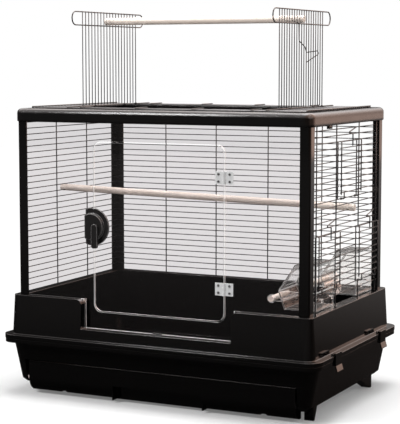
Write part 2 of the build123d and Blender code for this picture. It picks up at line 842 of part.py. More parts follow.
# Fixed roof grille: cross wires on the frame, long wires on top of them
cross_z = roof_top_z + wire_r
long_z = roof_top_z + wire_d + upright_r
grille_side_x = roof_opening_x + grille_seat
cross_reach = grille_side_x + upright_r
strip_start = (roof_open_wires + 1) * wire_pitch
roof_strip_wires = int((roof_opening_y - strip_start) // wire_pitch) + 1
hinge_line_x = roof_open_w / 2
eye_bore_r = upright_r + pin_gap
eye_clear = eye_bore_r + eye_wall + eye_room
long_reach = strip_start + (roof_strip_wires - 1) * wire_pitch + wire_r
with BuildPart() as roof_cross_wires:
    strip_ys = [strip_start + k * wire_pitch for k in range(roof_strip_wires)]
    with BuildSketch(Plane.YZ):
        with Locations(*[(sign * y, cross_z) for y in strip_ys for sign in (-1, 1)]):
            grid_profile(wire_d)
    extrude(amount=cross_reach, both=True)
    eye_rows = [eye_id - (flap_wires - 1) // 2 for eye_id in flap_eye_ids]
    plain_rows = [k for k in range(-roof_open_wires, roof_open_wires + 1) if k not in eye_rows]
    for side in (-1, 1):
        for rows, start_x in (
            (plain_rows, hinge_line_x - upright_r),
            (eye_rows, hinge_line_x + eye_clear),
        ):
            with BuildSketch(Plane.YZ.offset(side * start_x)):
                with Locations(*[(k * wire_pitch, cross_z) for k in rows]):
                    grid_profile(wire_d)
            extrude(amount=side * (cross_reach - start_x))
roof_cross_wires.part.label = "roof_cross_wires"
export_step(roof_cross_wires.part, "parts/roof_cross_wires.step")

with BuildPart() as roof_long_wires:
    with BuildSketch(Plane.XZ):
        with Locations((-grille_side_x, long_z), (grille_side_x, long_z)):
            grid_profile(upright_d)
    extrude(amount=long_reach, both=True)
    with BuildSketch(Plane.XZ.offset(-long_reach)):
        with Locations((-hinge_line_x, long_z), (hinge_line_x, long_z)):
            Circle(upright_r)
    extrude(amount=2 * long_reach)
    strip_len = long_reach - strip_start + wire_r
    for sign in (-1, 1):
        with BuildSketch(Plane.XZ.offset(-sign * (strip_start - wire_r))):
            with Locations(*[(s * x, long_z) for x in strip_upright_xs for s in (-1, 1)]):
                grid_profile(upright_d)
        extrude(amount=-sign * strip_len)
roof_long_wires.part.label = "roof_long_wires"
export_step(roof_long_wires.part, "parts/roof_long_wires.step")

# Roof flaps: wires with eyes on the hinge wires, and a racetrack hoop outside them
low_bar_z = long_z + flap_low_bar
top_bar_z = low_bar_z + 2 * hoop_r
flap_edge = (flap_wires - 1) / 2 * wire_pitch
flap_foot_z = long_z + upright_r + flap_foot_gap
for flap_name, side in (("flap_left", -1), ("flap_right", 1)):
    flap_x = side * hinge_line_x
    hoop_x = flap_x + side * (wire_r + hoop_d / 2)
    with BuildPart() as flap:
        with BuildSketch(Plane.XY.offset(flap_foot_z)):
            with Locations((flap_x, 0)):
                with GridLocations(1, wire_pitch, 1, flap_wires):
                    grid_profile(wire_d)
        extrude(amount=top_bar_z + hoop_d / 2 - flap_foot_z)
        for eye_id in flap_eye_ids:
            eye_y = eye_id * wire_pitch - flap_edge
            with BuildSketch(Plane.XZ.offset(-eye_y)):
                with Locations((flap_x, long_z)):
                    wire_profile(2 * (eye_bore_r + eye_wall))
                    wire_profile(2 * eye_bore_r, mode=Mode.SUBTRACT)
            extrude(amount=eye_len / 2, both=True)
    flap.part.label = f"{flap_name}_wires"
    export_step(flap.part, f"parts/{flap_name}_wires.step")
    with BuildPart() as hoop:
        with BuildSketch(Plane.XZ):
            with Locations((hoop_x, low_bar_z), (hoop_x, top_bar_z)):
                wire_profile(hoop_d)
        extrude(amount=hoop_reach, both=True)
        for end in (-1, 1):
            bend_middle = Vector(hoop_x, end * hoop_reach, low_bar_z + hoop_r)
            chord = 180 / hoop_chords
            with BuildLine() as bend_path:
                Polyline(
                    *[
                        bend_middle + Vector(0, 0, -hoop_r).rotate(Axis.X, end * k * chord)
                        for k in range(hoop_chords + 1)
                    ]
                )
            with BuildSketch(Plane(bend_path.line @ 0, x_dir=(1, 0, 0), z_dir=(0, end, 0))):
                wire_profile(hoop_d)
            sweep(path=bend_path.line, transition=Transition.RIGHT)
    hoop.part.label = f"{flap_name}_hoop"
    export_step(hoop.part, f"parts/{flap_name}_hoop.step")

# Bent latch wire welded inside the right flap
latch_wire_x = hinge_line_x - wire_r - flap_latch_d / 2
with BuildPart() as flap_latch:
    with BuildLine() as latch_route:
        Polyline(
            *bent_route(
                [(latch_wire_x, y, low_bar_z + dz) for y, dz in flap_latch_route],
                flap_latch_ease,
            )
        )
    with BuildSketch(Plane(latch_route.line @ 0, x_dir=(1, 0, 0), z_dir=latch_route.line % 0)):
        wire_profile(flap_latch_d)
    sweep(path=latch_route.line, transition=Transition.RIGHT)
flap_latch.part.label = "flap_latch"
export_step(flap_latch.part, "parts/flap_latch.step")

# Top perch: rests across the lower bars of the two hoops, slotted over a wire at each end
top_perch_z = low_bar_z + hoop_d / 2 + perch_rest_gap + top_perch_d / 2
top_perch_y = -wire_pitch
with BuildPart() as top_perch:
    with BuildSketch(Plane.YZ.offset(-hinge_line_x - top_perch_left_over)):
        with Locations((top_perch_y, top_perch_z)):
            Circle(top_perch_d / 2)
    extrude(amount=2 * hinge_line_x + top_perch_left_over + top_perch_right_over)
    for slot_x, slot_len in (
        (-hinge_line_x - top_perch_left_over, perch_left_slot),
        (hinge_line_x + top_perch_right_over - perch_right_slot, perch_right_slot),
    ):
        with BuildSketch(Plane.YZ.offset(slot_x)):
            with Locations((top_perch_y, top_perch_z)):
                Rectangle(perch_slot_w, 2 * top_perch_d)
        extrude(amount=slot_len, mode=Mode.SUBTRACT)
top_perch.part.label = "top_perch"
export_step(top_perch.part, "parts/top_perch.step")

# Inner perch: runs between two side wires, notched from below at each end
left_rest_z = side_row_z(back_first_wire, inner_perch_left_wire)
right_rest_z = side_row_z(right_first_wire, inner_perch_right_wire)
perch_start = Vector(-side_x, inner_perch_left_y, left_rest_z + inner_perch_lift)
perch_end = Vector(side_x, inner_perch_right_y, right_rest_z + inner_perch_lift)
perch_axis = (perch_end - perch_start).normalized()
with BuildPart() as inner_perch:
    with BuildSketch(Plane(origin=perch_start - perch_axis * inner_perch_over, z_dir=perch_axis)):
        Circle(inner_perch_d / 2)
    extrude(amount=(perch_end - perch_start).length + 2 * inner_perch_over)
    for notch_x, rest_z in ((-side_x, left_rest_z), (side_x, right_rest_z)):
        with BuildSketch(Plane.XY.offset(rest_z - inner_perch_d)):
            with Locations((notch_x, 0)):
                Rectangle(wire_d + 2 * notch_gap, rim_d)
        extrude(amount=inner_perch_d + wire_r + notch_gap, mode=Mode.SUBTRACT)
inner_perch.part.label = "inner_perch"
export_step(inner_perch.part, "parts/inner_perch.step")

# Drop-down feeder doors: eyes at the bottom round a panel wire, bent handle at the top
door_x = side_x + wire_r + upright_d + feeder_door_gap + wire_r
frame_x = door_x + wire_r + upright_r
feeder_bore_r = wire_r + pin_gap
for feeder_name, (door_y, hinge_row) in feeder_doors.items():
    axis_z = side_row_z(right_first_wire, hinge_row)
    top_z = axis_z + feeder_door_rows * wire_pitch
    with BuildPart() as door_wires:
        for row in range(1, feeder_door_rows + 1):
            with BuildSketch(Plane.XZ.offset(-(door_y - feeder_door_w / 2))):
                with Locations((door_x, axis_z + row * wire_pitch)):
                    grid_profile(wire_d)
            extrude(amount=-feeder_door_w)
    door_wires.part.label = f"feeder_door_{feeder_name}_wires"
    export_step(door_wires.part, f"parts/feeder_door_{feeder_name}_wires.step")
    with BuildPart() as door_frame:
        with BuildSketch(Plane.XY.offset(axis_z + feeder_foot_gap)):
            with Locations(
                (frame_x, door_y - feeder_door_w / 2 + upright_r),
                (frame_x, door_y + feeder_door_w / 2 - upright_r),
            ):
                grid_profile(upright_d)
        extrude(amount=top_z + wire_r - axis_z - feeder_foot_gap)
        for end in (-1, 1):
            eye_y = door_y + end * (feeder_door_w / 2 - feeder_eye_inset)
            with BuildSketch(Plane.YZ.offset(side_x)):
                with Locations((eye_y, axis_z)):
                    grid_profile(upright_d)
            extrude(amount=frame_x + upright_r - side_x)
            with BuildSketch(Plane.XY.offset(axis_z)):
                with Locations((frame_x, eye_y)):
                    grid_profile(upright_d)
            extrude(amount=wire_pitch + wire_r)
            with BuildSketch(Plane.XZ.offset(-eye_y)):
                with Locations((side_x, axis_z)):
                    wire_profile(2 * (feeder_bore_r + eye_wall))
            extrude(amount=eye_len / 2, both=True)
            with BuildSketch(Plane.XZ.offset(-eye_y)):
                with Locations((side_x, axis_z)):
                    wire_profile(2 * feeder_bore_r)
            extrude(amount=eye_len, both=True, mode=Mode.SUBTRACT)
    door_frame.part.label = f"feeder_door_{feeder_name}_frame"
    export_step(door_frame.part, f"parts/feeder_door_{feeder_name}_frame.step")
    handle_points = [
        Vector(frame_x, door_y + handle_leg_y, top_z - handle_root),
        Vector(frame_x, door_y + handle_leg_y, top_z + handle_leg_h),
        Vector(frame_x, door_y - handle_w / 2, top_z + handle_leg_h + handle_tilt),
        Vector(frame_x, door_y + handle_w / 2, top_z + handle_leg_h + handle_rise),
    ]
    with BuildPart() as door_handle:
        for start, end in zip(handle_points, handle_points[1:]):
            run = end - start
            lap = run.normalized() * handle_d / 2
            with BuildSketch(Plane(start - lap, x_dir=(1, 0, 0), z_dir=run)):
                wire_profile(handle_d)
            extrude(amount=run.length + handle_d)
    door_handle.part.label = f"feeder_door_{feeder_name}_handle"
    export_step(door_handle.part, f"parts/feeder_door_{feeder_name}_handle.step")

# Hooded feeders: a cup and a hood over it, with a perch stick on two arms
feeder_back_x = side_x - feeder_bore_r - eye_wall - feeder_eye_gap
hook_in_z = side_row_z(right_first_wire, 0) + wire_r
feeder_split_z = feeder_low_z + feeder_cup_h
feeder_top_z = feeder_split_z + feeder_hood_h
stick_x = feeder_back_x - stick_depth
stick_centre_z = feeder_low_z + stick_z


def feeder_outline():
    """Side outline of cup and hood together."""
    with BuildLine() as outline:
        Polyline(
            (feeder_back_x, feeder_low_z),
            (feeder_back_x - feeder_foot_depth, feeder_low_z),
            (feeder_back_x - feeder_lip_depth, feeder_split_z),
            (feeder_back_x - feeder_top_depth, feeder_top_z),
            (feeder_back_x, feeder_top_z),
            close=True,
        )
    make_face(outline.edges())


for feeder_name, feeder_y in feeder_ys.items():
    mid_plane = Plane.XZ.offset(-feeder_y)
    with BuildPart() as feeder_shell:
        with BuildSketch(mid_plane):
            feeder_outline()
        extrude(amount=feeder_w / 2, both=True)
        fillet(
            feeder_shell.edges().filter_by(Axis.Y).group_by(Axis.X)[0], radius=feeder_bulge_r
        )
        with BuildSketch(mid_plane):
            feeder_outline()
            offset(amount=-feeder_wall)
        extrude(amount=feeder_w / 2 - feeder_wall, both=True, mode=Mode.SUBTRACT)
    with BuildPart() as feeder_cup:
        add(feeder_shell.part)
        split(bisect_by=Plane.XY.offset(feeder_split_z), keep=Keep.BOTTOM)
        with BuildSketch(mid_plane):
            with Locations((stick_x, stick_centre_z)):
                wire_profile(2 * stick_arm_r)
            with Locations((stick_x + stick_arm_len / 2, stick_centre_z)):
                Rectangle(stick_arm_len, stick_arm_r)
        arm_sketch_depth = stick_len / 2 - stick_arm_in
        extrude(amount=arm_sketch_depth, both=True)
        with BuildSketch(Plane.XY.offset(stick_centre_z - 2 * stick_arm_r)):
            with Locations((stick_x + stick_arm_clear / 2 - stick_arm_r, feeder_y)):
                Rectangle(
                    stick_arm_clear + stick_arm_r, 2 * (arm_sketch_depth - stick_arm_w)
                )
        extrude(amount=4 * stick_arm_r, mode=Mode.SUBTRACT)
        with BuildSketch(mid_plane):
            with Locations((stick_x, stick_centre_z)):
                wire_profile(stick_d)
        extrude(amount=stick_len, both=True, mode=Mode.SUBTRACT)
        hook_x = side_x + wire_r + feeder_hook_gap
        for hook_y in (-feeder_hook_y, feeder_hook_y):
            with BuildSketch(Plane.XZ.offset(-(feeder_y + hook_y))):
                with BuildLine():
                    Polyline(
                        (feeder_back_x, hook_in_z + feeder_hook_gap),
                        (hook_x, hook_in_z + feeder_hook_gap),
                        (hook_x, hook_in_z - feeder_hook_drop),
                        (hook_x + feeder_hook_t, hook_in_z - feeder_hook_drop),
                        (hook_x + feeder_hook_t, hook_in_z + feeder_hook_gap + feeder_hook_t),
                        (feeder_back_x, hook_in_z + feeder_hook_gap + feeder_hook_t),
                        close=True,
                    )
                make_face()
            extrude(amount=feeder_hook_w / 2, both=True)
    feeder_cup.part.label = f"feeder_cup_{feeder_name}"
    export_step(feeder_cup.part, f"parts/feeder_cup_{feeder_name}.step")
    with BuildPart() as feeder_hood:
        add(feeder_shell.part)
        split(bisect_by=Plane.XY.offset(feeder_split_z), keep=Keep.TOP)
        with BuildSketch(Plane.YZ.offset(feeder_back_x - feeder_wall)):
            with Locations((feeder_y, (feeder_split_z + feeder_top_z) / 2)):
                Rectangle(feeder_w - 2 * feeder_wall, feeder_hood_h - 2 * feeder_wall)
        extrude(amount=feeder_wall, mode=Mode.SUBTRACT)
        with BuildSketch(Plane.YZ.offset(feeder_back_x - feeder_wall)):
            with Locations((feeder_y, feeder_split_z + feeder_hole_h / 2 + feeder_hole_lift)):
                RectangleRounded(feeder_hole_w, feeder_hole_h, feeder_hole_r)
        extrude(amount=-feeder_lip_depth, mode=Mode.SUBTRACT)
    feeder_hood.part.label = f"feeder_hood_{feeder_name}"
    export_step(feeder_hood.part, f"parts/feeder_hood_{feeder_name}.step")
    with BuildPart() as feeder_stick:
        with BuildSketch(mid_plane):
            with Locations((stick_x, stick_centre_z)):
                Circle(stick_d / 2)
        extrude(amount=stick_len / 2, both=True)
    feeder_stick.part.label = f"feeder_stick_{feeder_name}"
    export_step(feeder_stick.part, f"parts/feeder_stick_{feeder_name}.step")

# Base clips: a barrel with two stub pins on the flange, an outer wall, a hook under the rim
# and a flared thumb tab
clip_in_x = flange_w / 2 + clip_side_gap
clip_out_x = clip_in_x + clip_t
clip_hook_z = rim_bottom_z - clip_low_gap - clip_t
clip_tab_z = clip_hook_z - clip_tab_drop
clips = {
    "clip_left_front": (-1, -1),
    "clip_left_back": (-1, 1),
    "clip_right_front": (1, -1),
    "clip_right_back": (1, 1),
}
for clip_name, (sx, sy) in clips.items():
    clip_plane = Plane.XZ.offset(-sy * clip_y)
    with BuildPart() as clip:
        with BuildSketch(clip_plane):
            with BuildLine():
                Polyline(
                    (sx * ear_x, ear_z + clip_barrel_r),
                    (sx * clip_out_x, ear_z + clip_barrel_r),
                    (sx * clip_out_x, clip_hook_z),
                    (sx * (clip_out_x + clip_tab_flare), clip_tab_z),
                    (sx * (clip_in_x + clip_tab_flare), clip_tab_z),
                    (sx * clip_in_x, clip_hook_z),
                    (sx * (clip_in_x - clip_hook_reach), clip_hook_z),
                    (sx * (clip_in_x - clip_hook_reach), clip_hook_z + clip_t),
                    (sx * clip_in_x, clip_hook_z + clip_t),
                    (sx * clip_in_x, ear_z + clip_barrel_r - clip_t),
                    (sx * ear_x, ear_z + clip_barrel_r - clip_t),
                    close=True,
                )
            make_face()
            with Locations((sx * ear_x, ear_z)):
                Circle(clip_barrel_r)
        extrude(amount=clip_w / 2, both=True)
        with BuildSketch(clip_plane):
            with Locations((sx * ear_x, ear_z)):
                RegularPolygon(radius=clip_pin_r, side_count=8)
        extrude(amount=clip_w / 2 + clip_ear_gap + clip_ear_t, both=True)
    clip.part.label = clip_name
    export_step(clip.part, f"parts/{clip_name}.step")
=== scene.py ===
"""Looks for a bird cage: black moulded plastic, coated wire, clear sheet and pale wood."""

from __future__ import annotations

import json
import logging
import math
from collections.abc import Iterable, Sequence
from dataclasses import dataclass, field
from enum import Enum, IntEnum
from typing import NamedTuple

import bmesh
import bpy
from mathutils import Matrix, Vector

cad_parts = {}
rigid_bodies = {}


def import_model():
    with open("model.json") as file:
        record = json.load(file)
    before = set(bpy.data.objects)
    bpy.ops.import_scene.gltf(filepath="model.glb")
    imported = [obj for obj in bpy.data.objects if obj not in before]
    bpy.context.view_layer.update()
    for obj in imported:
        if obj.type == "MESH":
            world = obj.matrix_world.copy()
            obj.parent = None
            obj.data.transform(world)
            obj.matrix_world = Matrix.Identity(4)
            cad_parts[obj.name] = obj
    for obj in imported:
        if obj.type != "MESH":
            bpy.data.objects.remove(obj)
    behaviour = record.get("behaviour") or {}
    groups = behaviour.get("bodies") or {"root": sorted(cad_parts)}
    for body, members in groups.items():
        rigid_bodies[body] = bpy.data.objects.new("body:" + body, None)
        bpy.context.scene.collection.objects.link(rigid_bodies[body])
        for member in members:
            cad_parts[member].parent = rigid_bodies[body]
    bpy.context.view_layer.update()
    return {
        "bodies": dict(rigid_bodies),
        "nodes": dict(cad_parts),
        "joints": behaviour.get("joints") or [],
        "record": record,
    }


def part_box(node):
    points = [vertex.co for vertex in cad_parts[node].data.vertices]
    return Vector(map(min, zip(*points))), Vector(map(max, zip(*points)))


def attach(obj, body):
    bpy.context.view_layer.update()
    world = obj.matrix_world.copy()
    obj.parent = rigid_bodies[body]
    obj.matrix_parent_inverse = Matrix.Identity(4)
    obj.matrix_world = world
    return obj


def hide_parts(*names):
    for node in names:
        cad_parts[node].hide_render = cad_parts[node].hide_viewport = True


log = logging.getLogger("bird_cage")
Point = tuple[float, float, float]
Socket = bpy.types.NodeSocket
BLACK: Point = (0.0, 0.0, 0.0)
WHITE: Point = (1.0, 1.0, 1.0)


class Slot(Enum):
    """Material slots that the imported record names."""

    BLACK = "black_plastic"
    WIRE = "wire"
    CLEAR = "clear_plastic"
    FEEDER = "feeder_plastic"
    HINGE = "hinge_plastic"
    WOOD = "wood"
    SCREW = "screw_steel"


class End(Enum):
    """How a swept wire finishes."""

    OPEN = "rounded ends"
    LOOP = "joined to itself"


class Edges(Enum):
    """Which edges of a clear piece get a painted glow."""

    CUT = "cut edges of a flat sheet"
    MOULDED = "rounded edges of a moulding"


class Axis(IntEnum):
    """Axes of the frame, by their place in a point."""

    X = 0
    Y = 1
    Z = 2


class Ramp(NamedTuple):
    """Range of a value, and what its two ends turn into."""

    start: float = 0.0
    end: float = 1.0
    low: float = 0.0
    high: float = 1.0


# Shader node groups that several finishes share


@dataclass
class Shading:
    """Short ways to add and join nodes in one shader tree."""

    tree: bpy.types.NodeTree

    def add(self, kind: str) -> bpy.types.ShaderNode:
        """Adds a node, its kind written without the ShaderNode in front."""
        return self.tree.nodes.new(f"ShaderNode{kind}")

    def feed(self, target: Socket, value: float | Point | Socket) -> None:
        """Sets an input to a number or a colour, or links a socket to it."""
        if isinstance(value, Socket):
            self.tree.links.new(value, target)
        elif target.type == "RGBA":
            target.default_value = (*value, 1.0)
        else:
            target.default_value = value

    def given(self, label: str) -> Socket:
        """One of the group's inputs."""
        return self.tree.nodes["in"].outputs[label]

    def give(self, label: str, value: Socket) -> None:
        """Feeds one of the group's outputs."""
        self.feed(self.tree.nodes["out"].inputs[label], value)

    def coords(self, label: str) -> Socket:
        """A texture coordinate."""
        return self.add("TexCoord").outputs[label]

    def split(self, vector: Socket) -> tuple[Socket, ...]:
        """The three parts of a vector."""
        node = self.add("SeparateXYZ")
        self.feed(node.inputs[0], vector)
        return tuple(node.outputs)

    def maths(
        self, operation: str, first: Socket, second: float | Socket = 0.0, clamp: bool = False
    ) -> Socket:
        """Adds a maths node.

        Args:
            operation: what it does.
            first: its first number.
            second: its second number.
            clamp: whether the result stays between 0 and 1.

        Returns:
            The result.
        """
        node = self.add("Math")
        node.operation, node.use_clamp = operation, clamp
        self.feed(node.inputs[0], first)
        self.feed(node.inputs[1], second)
        return node.outputs[0]

    def vector(self, operation: str, first: Socket, second: Point | Socket = BLACK) -> Socket:
        """Adds a vector maths node.

        Args:
            operation: what it does.
            first: its first vector.
            second: its second vector.

        Returns:
            The resulting vector, or the value for a length or a dot product.
        """
        node = self.add("VectorMath")
        node.operation = operation
        self.feed(node.inputs[0], first)
        self.feed(node.inputs[1], second)
        single = operation in ("LENGTH", "DOT_PRODUCT")
        return node.outputs["Value" if single else "Vector"]

    def remap(
        self,
        value: Socket,
        start: float = 0.0,
        end: float = 1.0,
        low: float | Socket = 0.0,
        high: float | Socket = 1.0,
        curve: str = "LINEAR",
    ) -> Socket:
        """Turns a range of a value into another range.

        Args:
            value: the value.
            start: where the range starts.
            end: where it ends.
            low: result at the start.
            high: result at the end.
            curve: how the result runs between them.

        Returns:
            The result.
        """
        node = self.add("MapRange")
        node.interpolation_type = curve
        labels = ("Value", "From Min", "From Max", "To Min", "To Max")
        for label, source in zip(labels, (value, start, end, low, high)):
            self.feed(node.inputs[label], source)
        return node.outputs["Result"]

    def noise(
        self, place: Socket, scale: float | Socket, detail: float = 2.0, roughness: float = 0.5
    ) -> Socket:
        """Adds noise.

        Args:
            place: coordinates.
            scale: how fine it is.
            detail: number of finer layers.
            roughness: weight of the finer layers.

        Returns:
            The noise, around 0.5.
        """
        node = self.add("TexNoise")
        labels = ("Vector", "Scale", "Detail", "Roughness")
        for label, source in zip(labels, (place, scale, detail, roughness)):
            self.feed(node.inputs[label], source)
        return node.outputs["Fac"]

    def mix(self, mask: Socket, low: Point | Socket, high: Point | Socket) -> Socket:
        """Mixes two colours by a mask.

        Args:
            mask: from 0 to 1.
            low: colour at 0.
            high: colour at 1.

        Returns:
            The mixed colour.
        """
        node = self.add("Mix")
        node.data_type = "RGBA"
        for label, source in (("Factor", mask), ("A", low), ("B", high)):
            self.feed(node.inputs[label], source)
        return node.outputs["Result"]

    def place(self, group: bpy.types.NodeTree, **values: float) -> bpy.types.NodeOutputs:
        """Puts a shared group into the tree with its own values.

        Args:
            group: the shared group.
            values: its inputs.

        Returns:
            The group's outputs.
        """
        node = self.add("Group")
        node.node_tree = group
        for label, value in values.items():
            node.inputs[label].default_value = value
        return node.outputs

    def bump(
        self, height: Socket, strength: float, distance: float, normal: Socket | None = None
    ) -> Socket:
        """Turns a height into a normal.

        Args:
            height: the height, from 0 to 1.
            strength: strength of the bump.
            distance: height of the bump in metres.
            normal: the normal that the bump is laid over.

        Returns:
            The bumped normal.
        """
        node = self.add("Bump")
        for label, source in (("Strength", strength), ("Distance", distance), ("Height", height)):
            self.feed(node.inputs[label], source)
        if normal is not None:
            self.feed(node.inputs["Normal"], normal)
        return node.outputs["Normal"]

    def shade(self, feeds: dict[str, float | Point | Socket]) -> None:
        """Feeds the material's Principled shader."""
        shader = self.tree.nodes["Principled BSDF"]
        for label, value in feeds.items():
            self.feed(shader.inputs[label], value)


def new_group(name: str, inputs: dict[str, float], outputs: dict[str, str]) -> Shading:
    """Makes an empty shader group with named sockets.

    Args:
        name: name of the group.
        inputs: float inputs and their defaults.
        outputs: output names and the kinds of their sockets.

    Returns:
        The new group, holding only its input and output nodes.
    """
    group = bpy.data.node_groups.new(name, "ShaderNodeTree")
    for label, default in inputs.items():
        socket = group.interface.new_socket(label, in_out="INPUT", socket_type="NodeSocketFloat")
        socket.default_value = default
    for label, kind in outputs.items():
        socket_type = f"NodeSocket{kind}"
        group.interface.new_socket(label, in_out="OUTPUT", socket_type=socket_type)
    group.nodes.new("NodeGroupInput").name = "in"
    group.nodes.new("NodeGroupOutput").name = "out"
    return Shading(group)


def uneven_gloss_group() -> bpy.types.NodeTree:
    """Roughness that wanders between two values, and a fine height for a bump.

    Returns:
        Group with inputs Scale, Low and High and outputs Roughness and Height.
    """
    group = new_group(
        "uneven_gloss",
        {"Scale": 40.0, "Low": 0.2, "High": 0.3},
        {"Roughness": "Float", "Height": "Float"},
    )
    place, scale, finer = group.coords("Object"), group.given("Scale"), 9.0
    noise_low, noise_high = 0.3, 0.7
    broad = group.noise(place, scale, detail=4.0)
    rough = group.remap(broad, noise_low, noise_high, group.given("Low"), group.given("High"))
    group.give("Roughness", rough)
    group.give("Height", group.noise(place, group.maths("MULTIPLY", scale, finer)))
    return group.tree


def settled_dust_group() -> bpy.types.NodeTree:
    """Mask of the faint dust that lies on upward faces, broken up by noise.

    Returns:
        Group with inputs Amount and Scale and output Mask.
    """
    group = new_group("settled_dust", {"Amount": 0.1, "Scale": 120.0}, {"Mask": "Float"})
    first_dusty_slope = 0.35
    patches = group.noise(group.coords("Object"), group.given("Scale"), detail=6.0)
    up = group.split(group.coords("Normal"))[Axis.Z]
    patchy = group.maths("MULTIPLY", group.remap(up, first_dusty_slope, 1.0), patches)
    group.give("Mask", group.maths("MULTIPLY", patchy, group.given("Amount"), clamp=True))
    return group.tree


def soft_edge_group() -> bpy.types.NodeTree:
    """Rounds the look of moulded edges and marks them for rubbed wear, painted highlights and
    painted glow.

    Returns:
        Group with inputs Radius and Amount and outputs Normal and Mask.
    """
    group = new_group(
        "soft_edge", {"Radius": 0.0012, "Amount": 0.3}, {"Normal": "Vector", "Mask": "Float"}
    )
    bevel = group.add("Bevel")
    bevel.samples = 6
    group.feed(bevel.inputs["Radius"], group.given("Radius"))
    rounded = bevel.outputs["Normal"]
    flat = group.add("NewGeometry").outputs["Normal"]
    flat_enough, sharp = 0.995, 0.9
    edge = group.remap(group.vector("DOT_PRODUCT", rounded, flat), flat_enough, sharp)
    group.give("Normal", rounded)
    group.give("Mask", group.maths("MULTIPLY", edge, group.given("Amount"), clamp=True))
    return group.tree


def cut_edge_group() -> bpy.types.NodeTree:
    """Mask of a sheet's cut edges, where the sheet lies across the object's Y.

    Returns:
        Group with output Mask.
    """
    group = new_group("cut_edge", {}, {"Mask": "Float"})
    facing_y = group.maths("ABSOLUTE", group.split(group.coords("Normal"))[Axis.Y])
    flat_side, cut_side = 0.6, 0.3
    group.give("Mask", group.remap(facing_y, flat_side, cut_side))
    return group.tree


@dataclass
class SurfaceEffects:
    """The shared node groups, made once."""

    gloss: bpy.types.NodeTree = field(default_factory=uneven_gloss_group)
    dust: bpy.types.NodeTree = field(default_factory=settled_dust_group)
    edge: bpy.types.NodeTree = field(default_factory=soft_edge_group)
    cut: bpy.types.NodeTree = field(default_factory=cut_edge_group)


def new_material(name: str) -> tuple[bpy.types.Material, Shading]:
    """Makes a material and the short ways to fill its tree.

    Args:
        name: name of the material.

    Returns:
        The material and its tree's shading.
    """
    material = bpy.data.materials.new(name)
    material.use_nodes = True
    return material, Shading(material.node_tree)


@dataclass(frozen=True)
class Moulded:
    """Opaque moulded plastic or a plastic coat, glossy and slightly uneven."""

    name: str
    colour: Point
    pale: Point
    rough: tuple[float, float]
    dust: float
    edge: float
    edge_r: float
    specular: float = 0.5
    grain_scale: float = 30.0
    bump: float = 0.00002
    bump_strength: float = 0.25

    def build(self, effects: SurfaceEffects) -> bpy.types.Material:
        """Makes the material.

        Args:
            effects: the shared node groups.

        Returns:
            The finished material.
        """
        material, tree = new_material(self.name)
        low, high = self.rough
        gloss = tree.place(effects.gloss, Scale=self.grain_scale, Low=low, High=high)
        dust = tree.place(effects.dust, Amount=self.dust)
        # Edges go paler: partly rubbed wear, partly a painted highlight along them.
        edge = tree.place(effects.edge, Radius=self.edge_r, Amount=self.edge)
        dust_and_edge_sheen = tree.maths("MAXIMUM", dust["Mask"], edge["Mask"])
        tree.shade({
            "Base Color": tree.mix(dust_and_edge_sheen, self.colour, self.pale),
            "Roughness": gloss["Roughness"],
            "Specular IOR Level": self.specular,
            "Normal": tree.bump(gloss["Height"], self.bump_strength, self.bump, edge["Normal"]),
        })
        return material


@dataclass(frozen=True)
class ClearPlastic:
    """See-through plastic, from clear sheet to milky mouldings."""

    name: str
    colour: Point
    transmission: float
    rough: tuple[float, float]
    edge_glow: float
    edges: Edges = Edges.CUT
    edge_rough: float = 0.5
    edge_r: float = 0.0015
    edge_glow_colour: Point = (1.0, 0.99, 0.97)
    ior: float = 1.49
    shadow_share: float = 0.88
    grain_scale: float = 6.0
    bump: float = 0.00001
    bump_strength: float = 0.15

    def build(self, effects: SurfaceEffects) -> bpy.types.Material:
        """Makes the material, which lets most of the lamps' light through its shadow.

        Args:
            effects: the shared node groups.

        Returns:
            The finished material.
        """
        material, tree = new_material(self.name)
        low, high = self.rough
        gloss = tree.place(effects.gloss, Scale=self.grain_scale, Low=low, High=high)
        # Only the edges glow, though they are no lamp: a painted glow standing in for light
        # carried in the plastic.
        if self.edges is Edges.CUT:
            bright = tree.place(effects.cut)["Mask"]
        else:
            bright = tree.place(effects.edge, Radius=self.edge_r, Amount=1.0)["Mask"]
        shadow = tree.add("LightPath").outputs["Is Shadow Ray"]
        see_through = 1.0 - self.shadow_share * self.transmission
        tree.shade({
            "Base Color": self.colour,
            "Roughness": tree.remap(bright, low=gloss["Roughness"], high=self.edge_rough),
            "Emission Color": tree.mix(bright, BLACK, self.edge_glow_colour),
            "Emission Strength": self.edge_glow,
            "Alpha": tree.remap(shadow, low=1.0, high=see_through),
            "Transmission Weight": self.transmission,
            "IOR": self.ior,
            "Normal": tree.bump(gloss["Height"], self.bump_strength, self.bump),
        })
        return material


@dataclass(frozen=True)
class PaleWood:
    """Pale turned wood with grain along the dowel."""

    name: str
    along: Point
    pale: Point = (0.99, 0.88, 0.80)
    dark: Point = (0.95, 0.80, 0.69)
    dark_until: float = 0.34
    pale_from: float = 0.62
    rough: tuple[float, float] = (0.42, 0.62)
    bump: float = 0.0002
    bump_strength: float = 0.35

    def build(self, effects: SurfaceEffects) -> bpy.types.Material:
        """Makes the material.

        Args:
            effects: the shared node groups.

        Returns:
            The finished material.
        """
        material, tree = new_material(self.name)
        stretch = tree.add("Mapping")
        tree.feed(stretch.inputs["Vector"], tree.coords("Object"))
        tree.feed(stretch.inputs["Scale"], self.along)
        fibres = tree.noise(stretch.outputs["Vector"], 1.0, detail=8.0, roughness=0.62)
        grain = tree.add("ValToRGB")
        tree.feed(grain.inputs["Fac"], fibres)
        stops = ((self.dark_until, self.dark), (self.pale_from, self.pale))
        for element, (position, colour) in zip(grain.color_ramp.elements, stops):
            element.position, element.color = position, (*colour, 1.0)
        low, high = self.rough
        tree.shade({
            "Base Color": grain.outputs["Color"],
            "Roughness": tree.place(effects.gloss, Scale=60.0, Low=low, High=high)["Roughness"],
            "Normal": tree.bump(fibres, self.bump_strength, self.bump),
        })
        return material


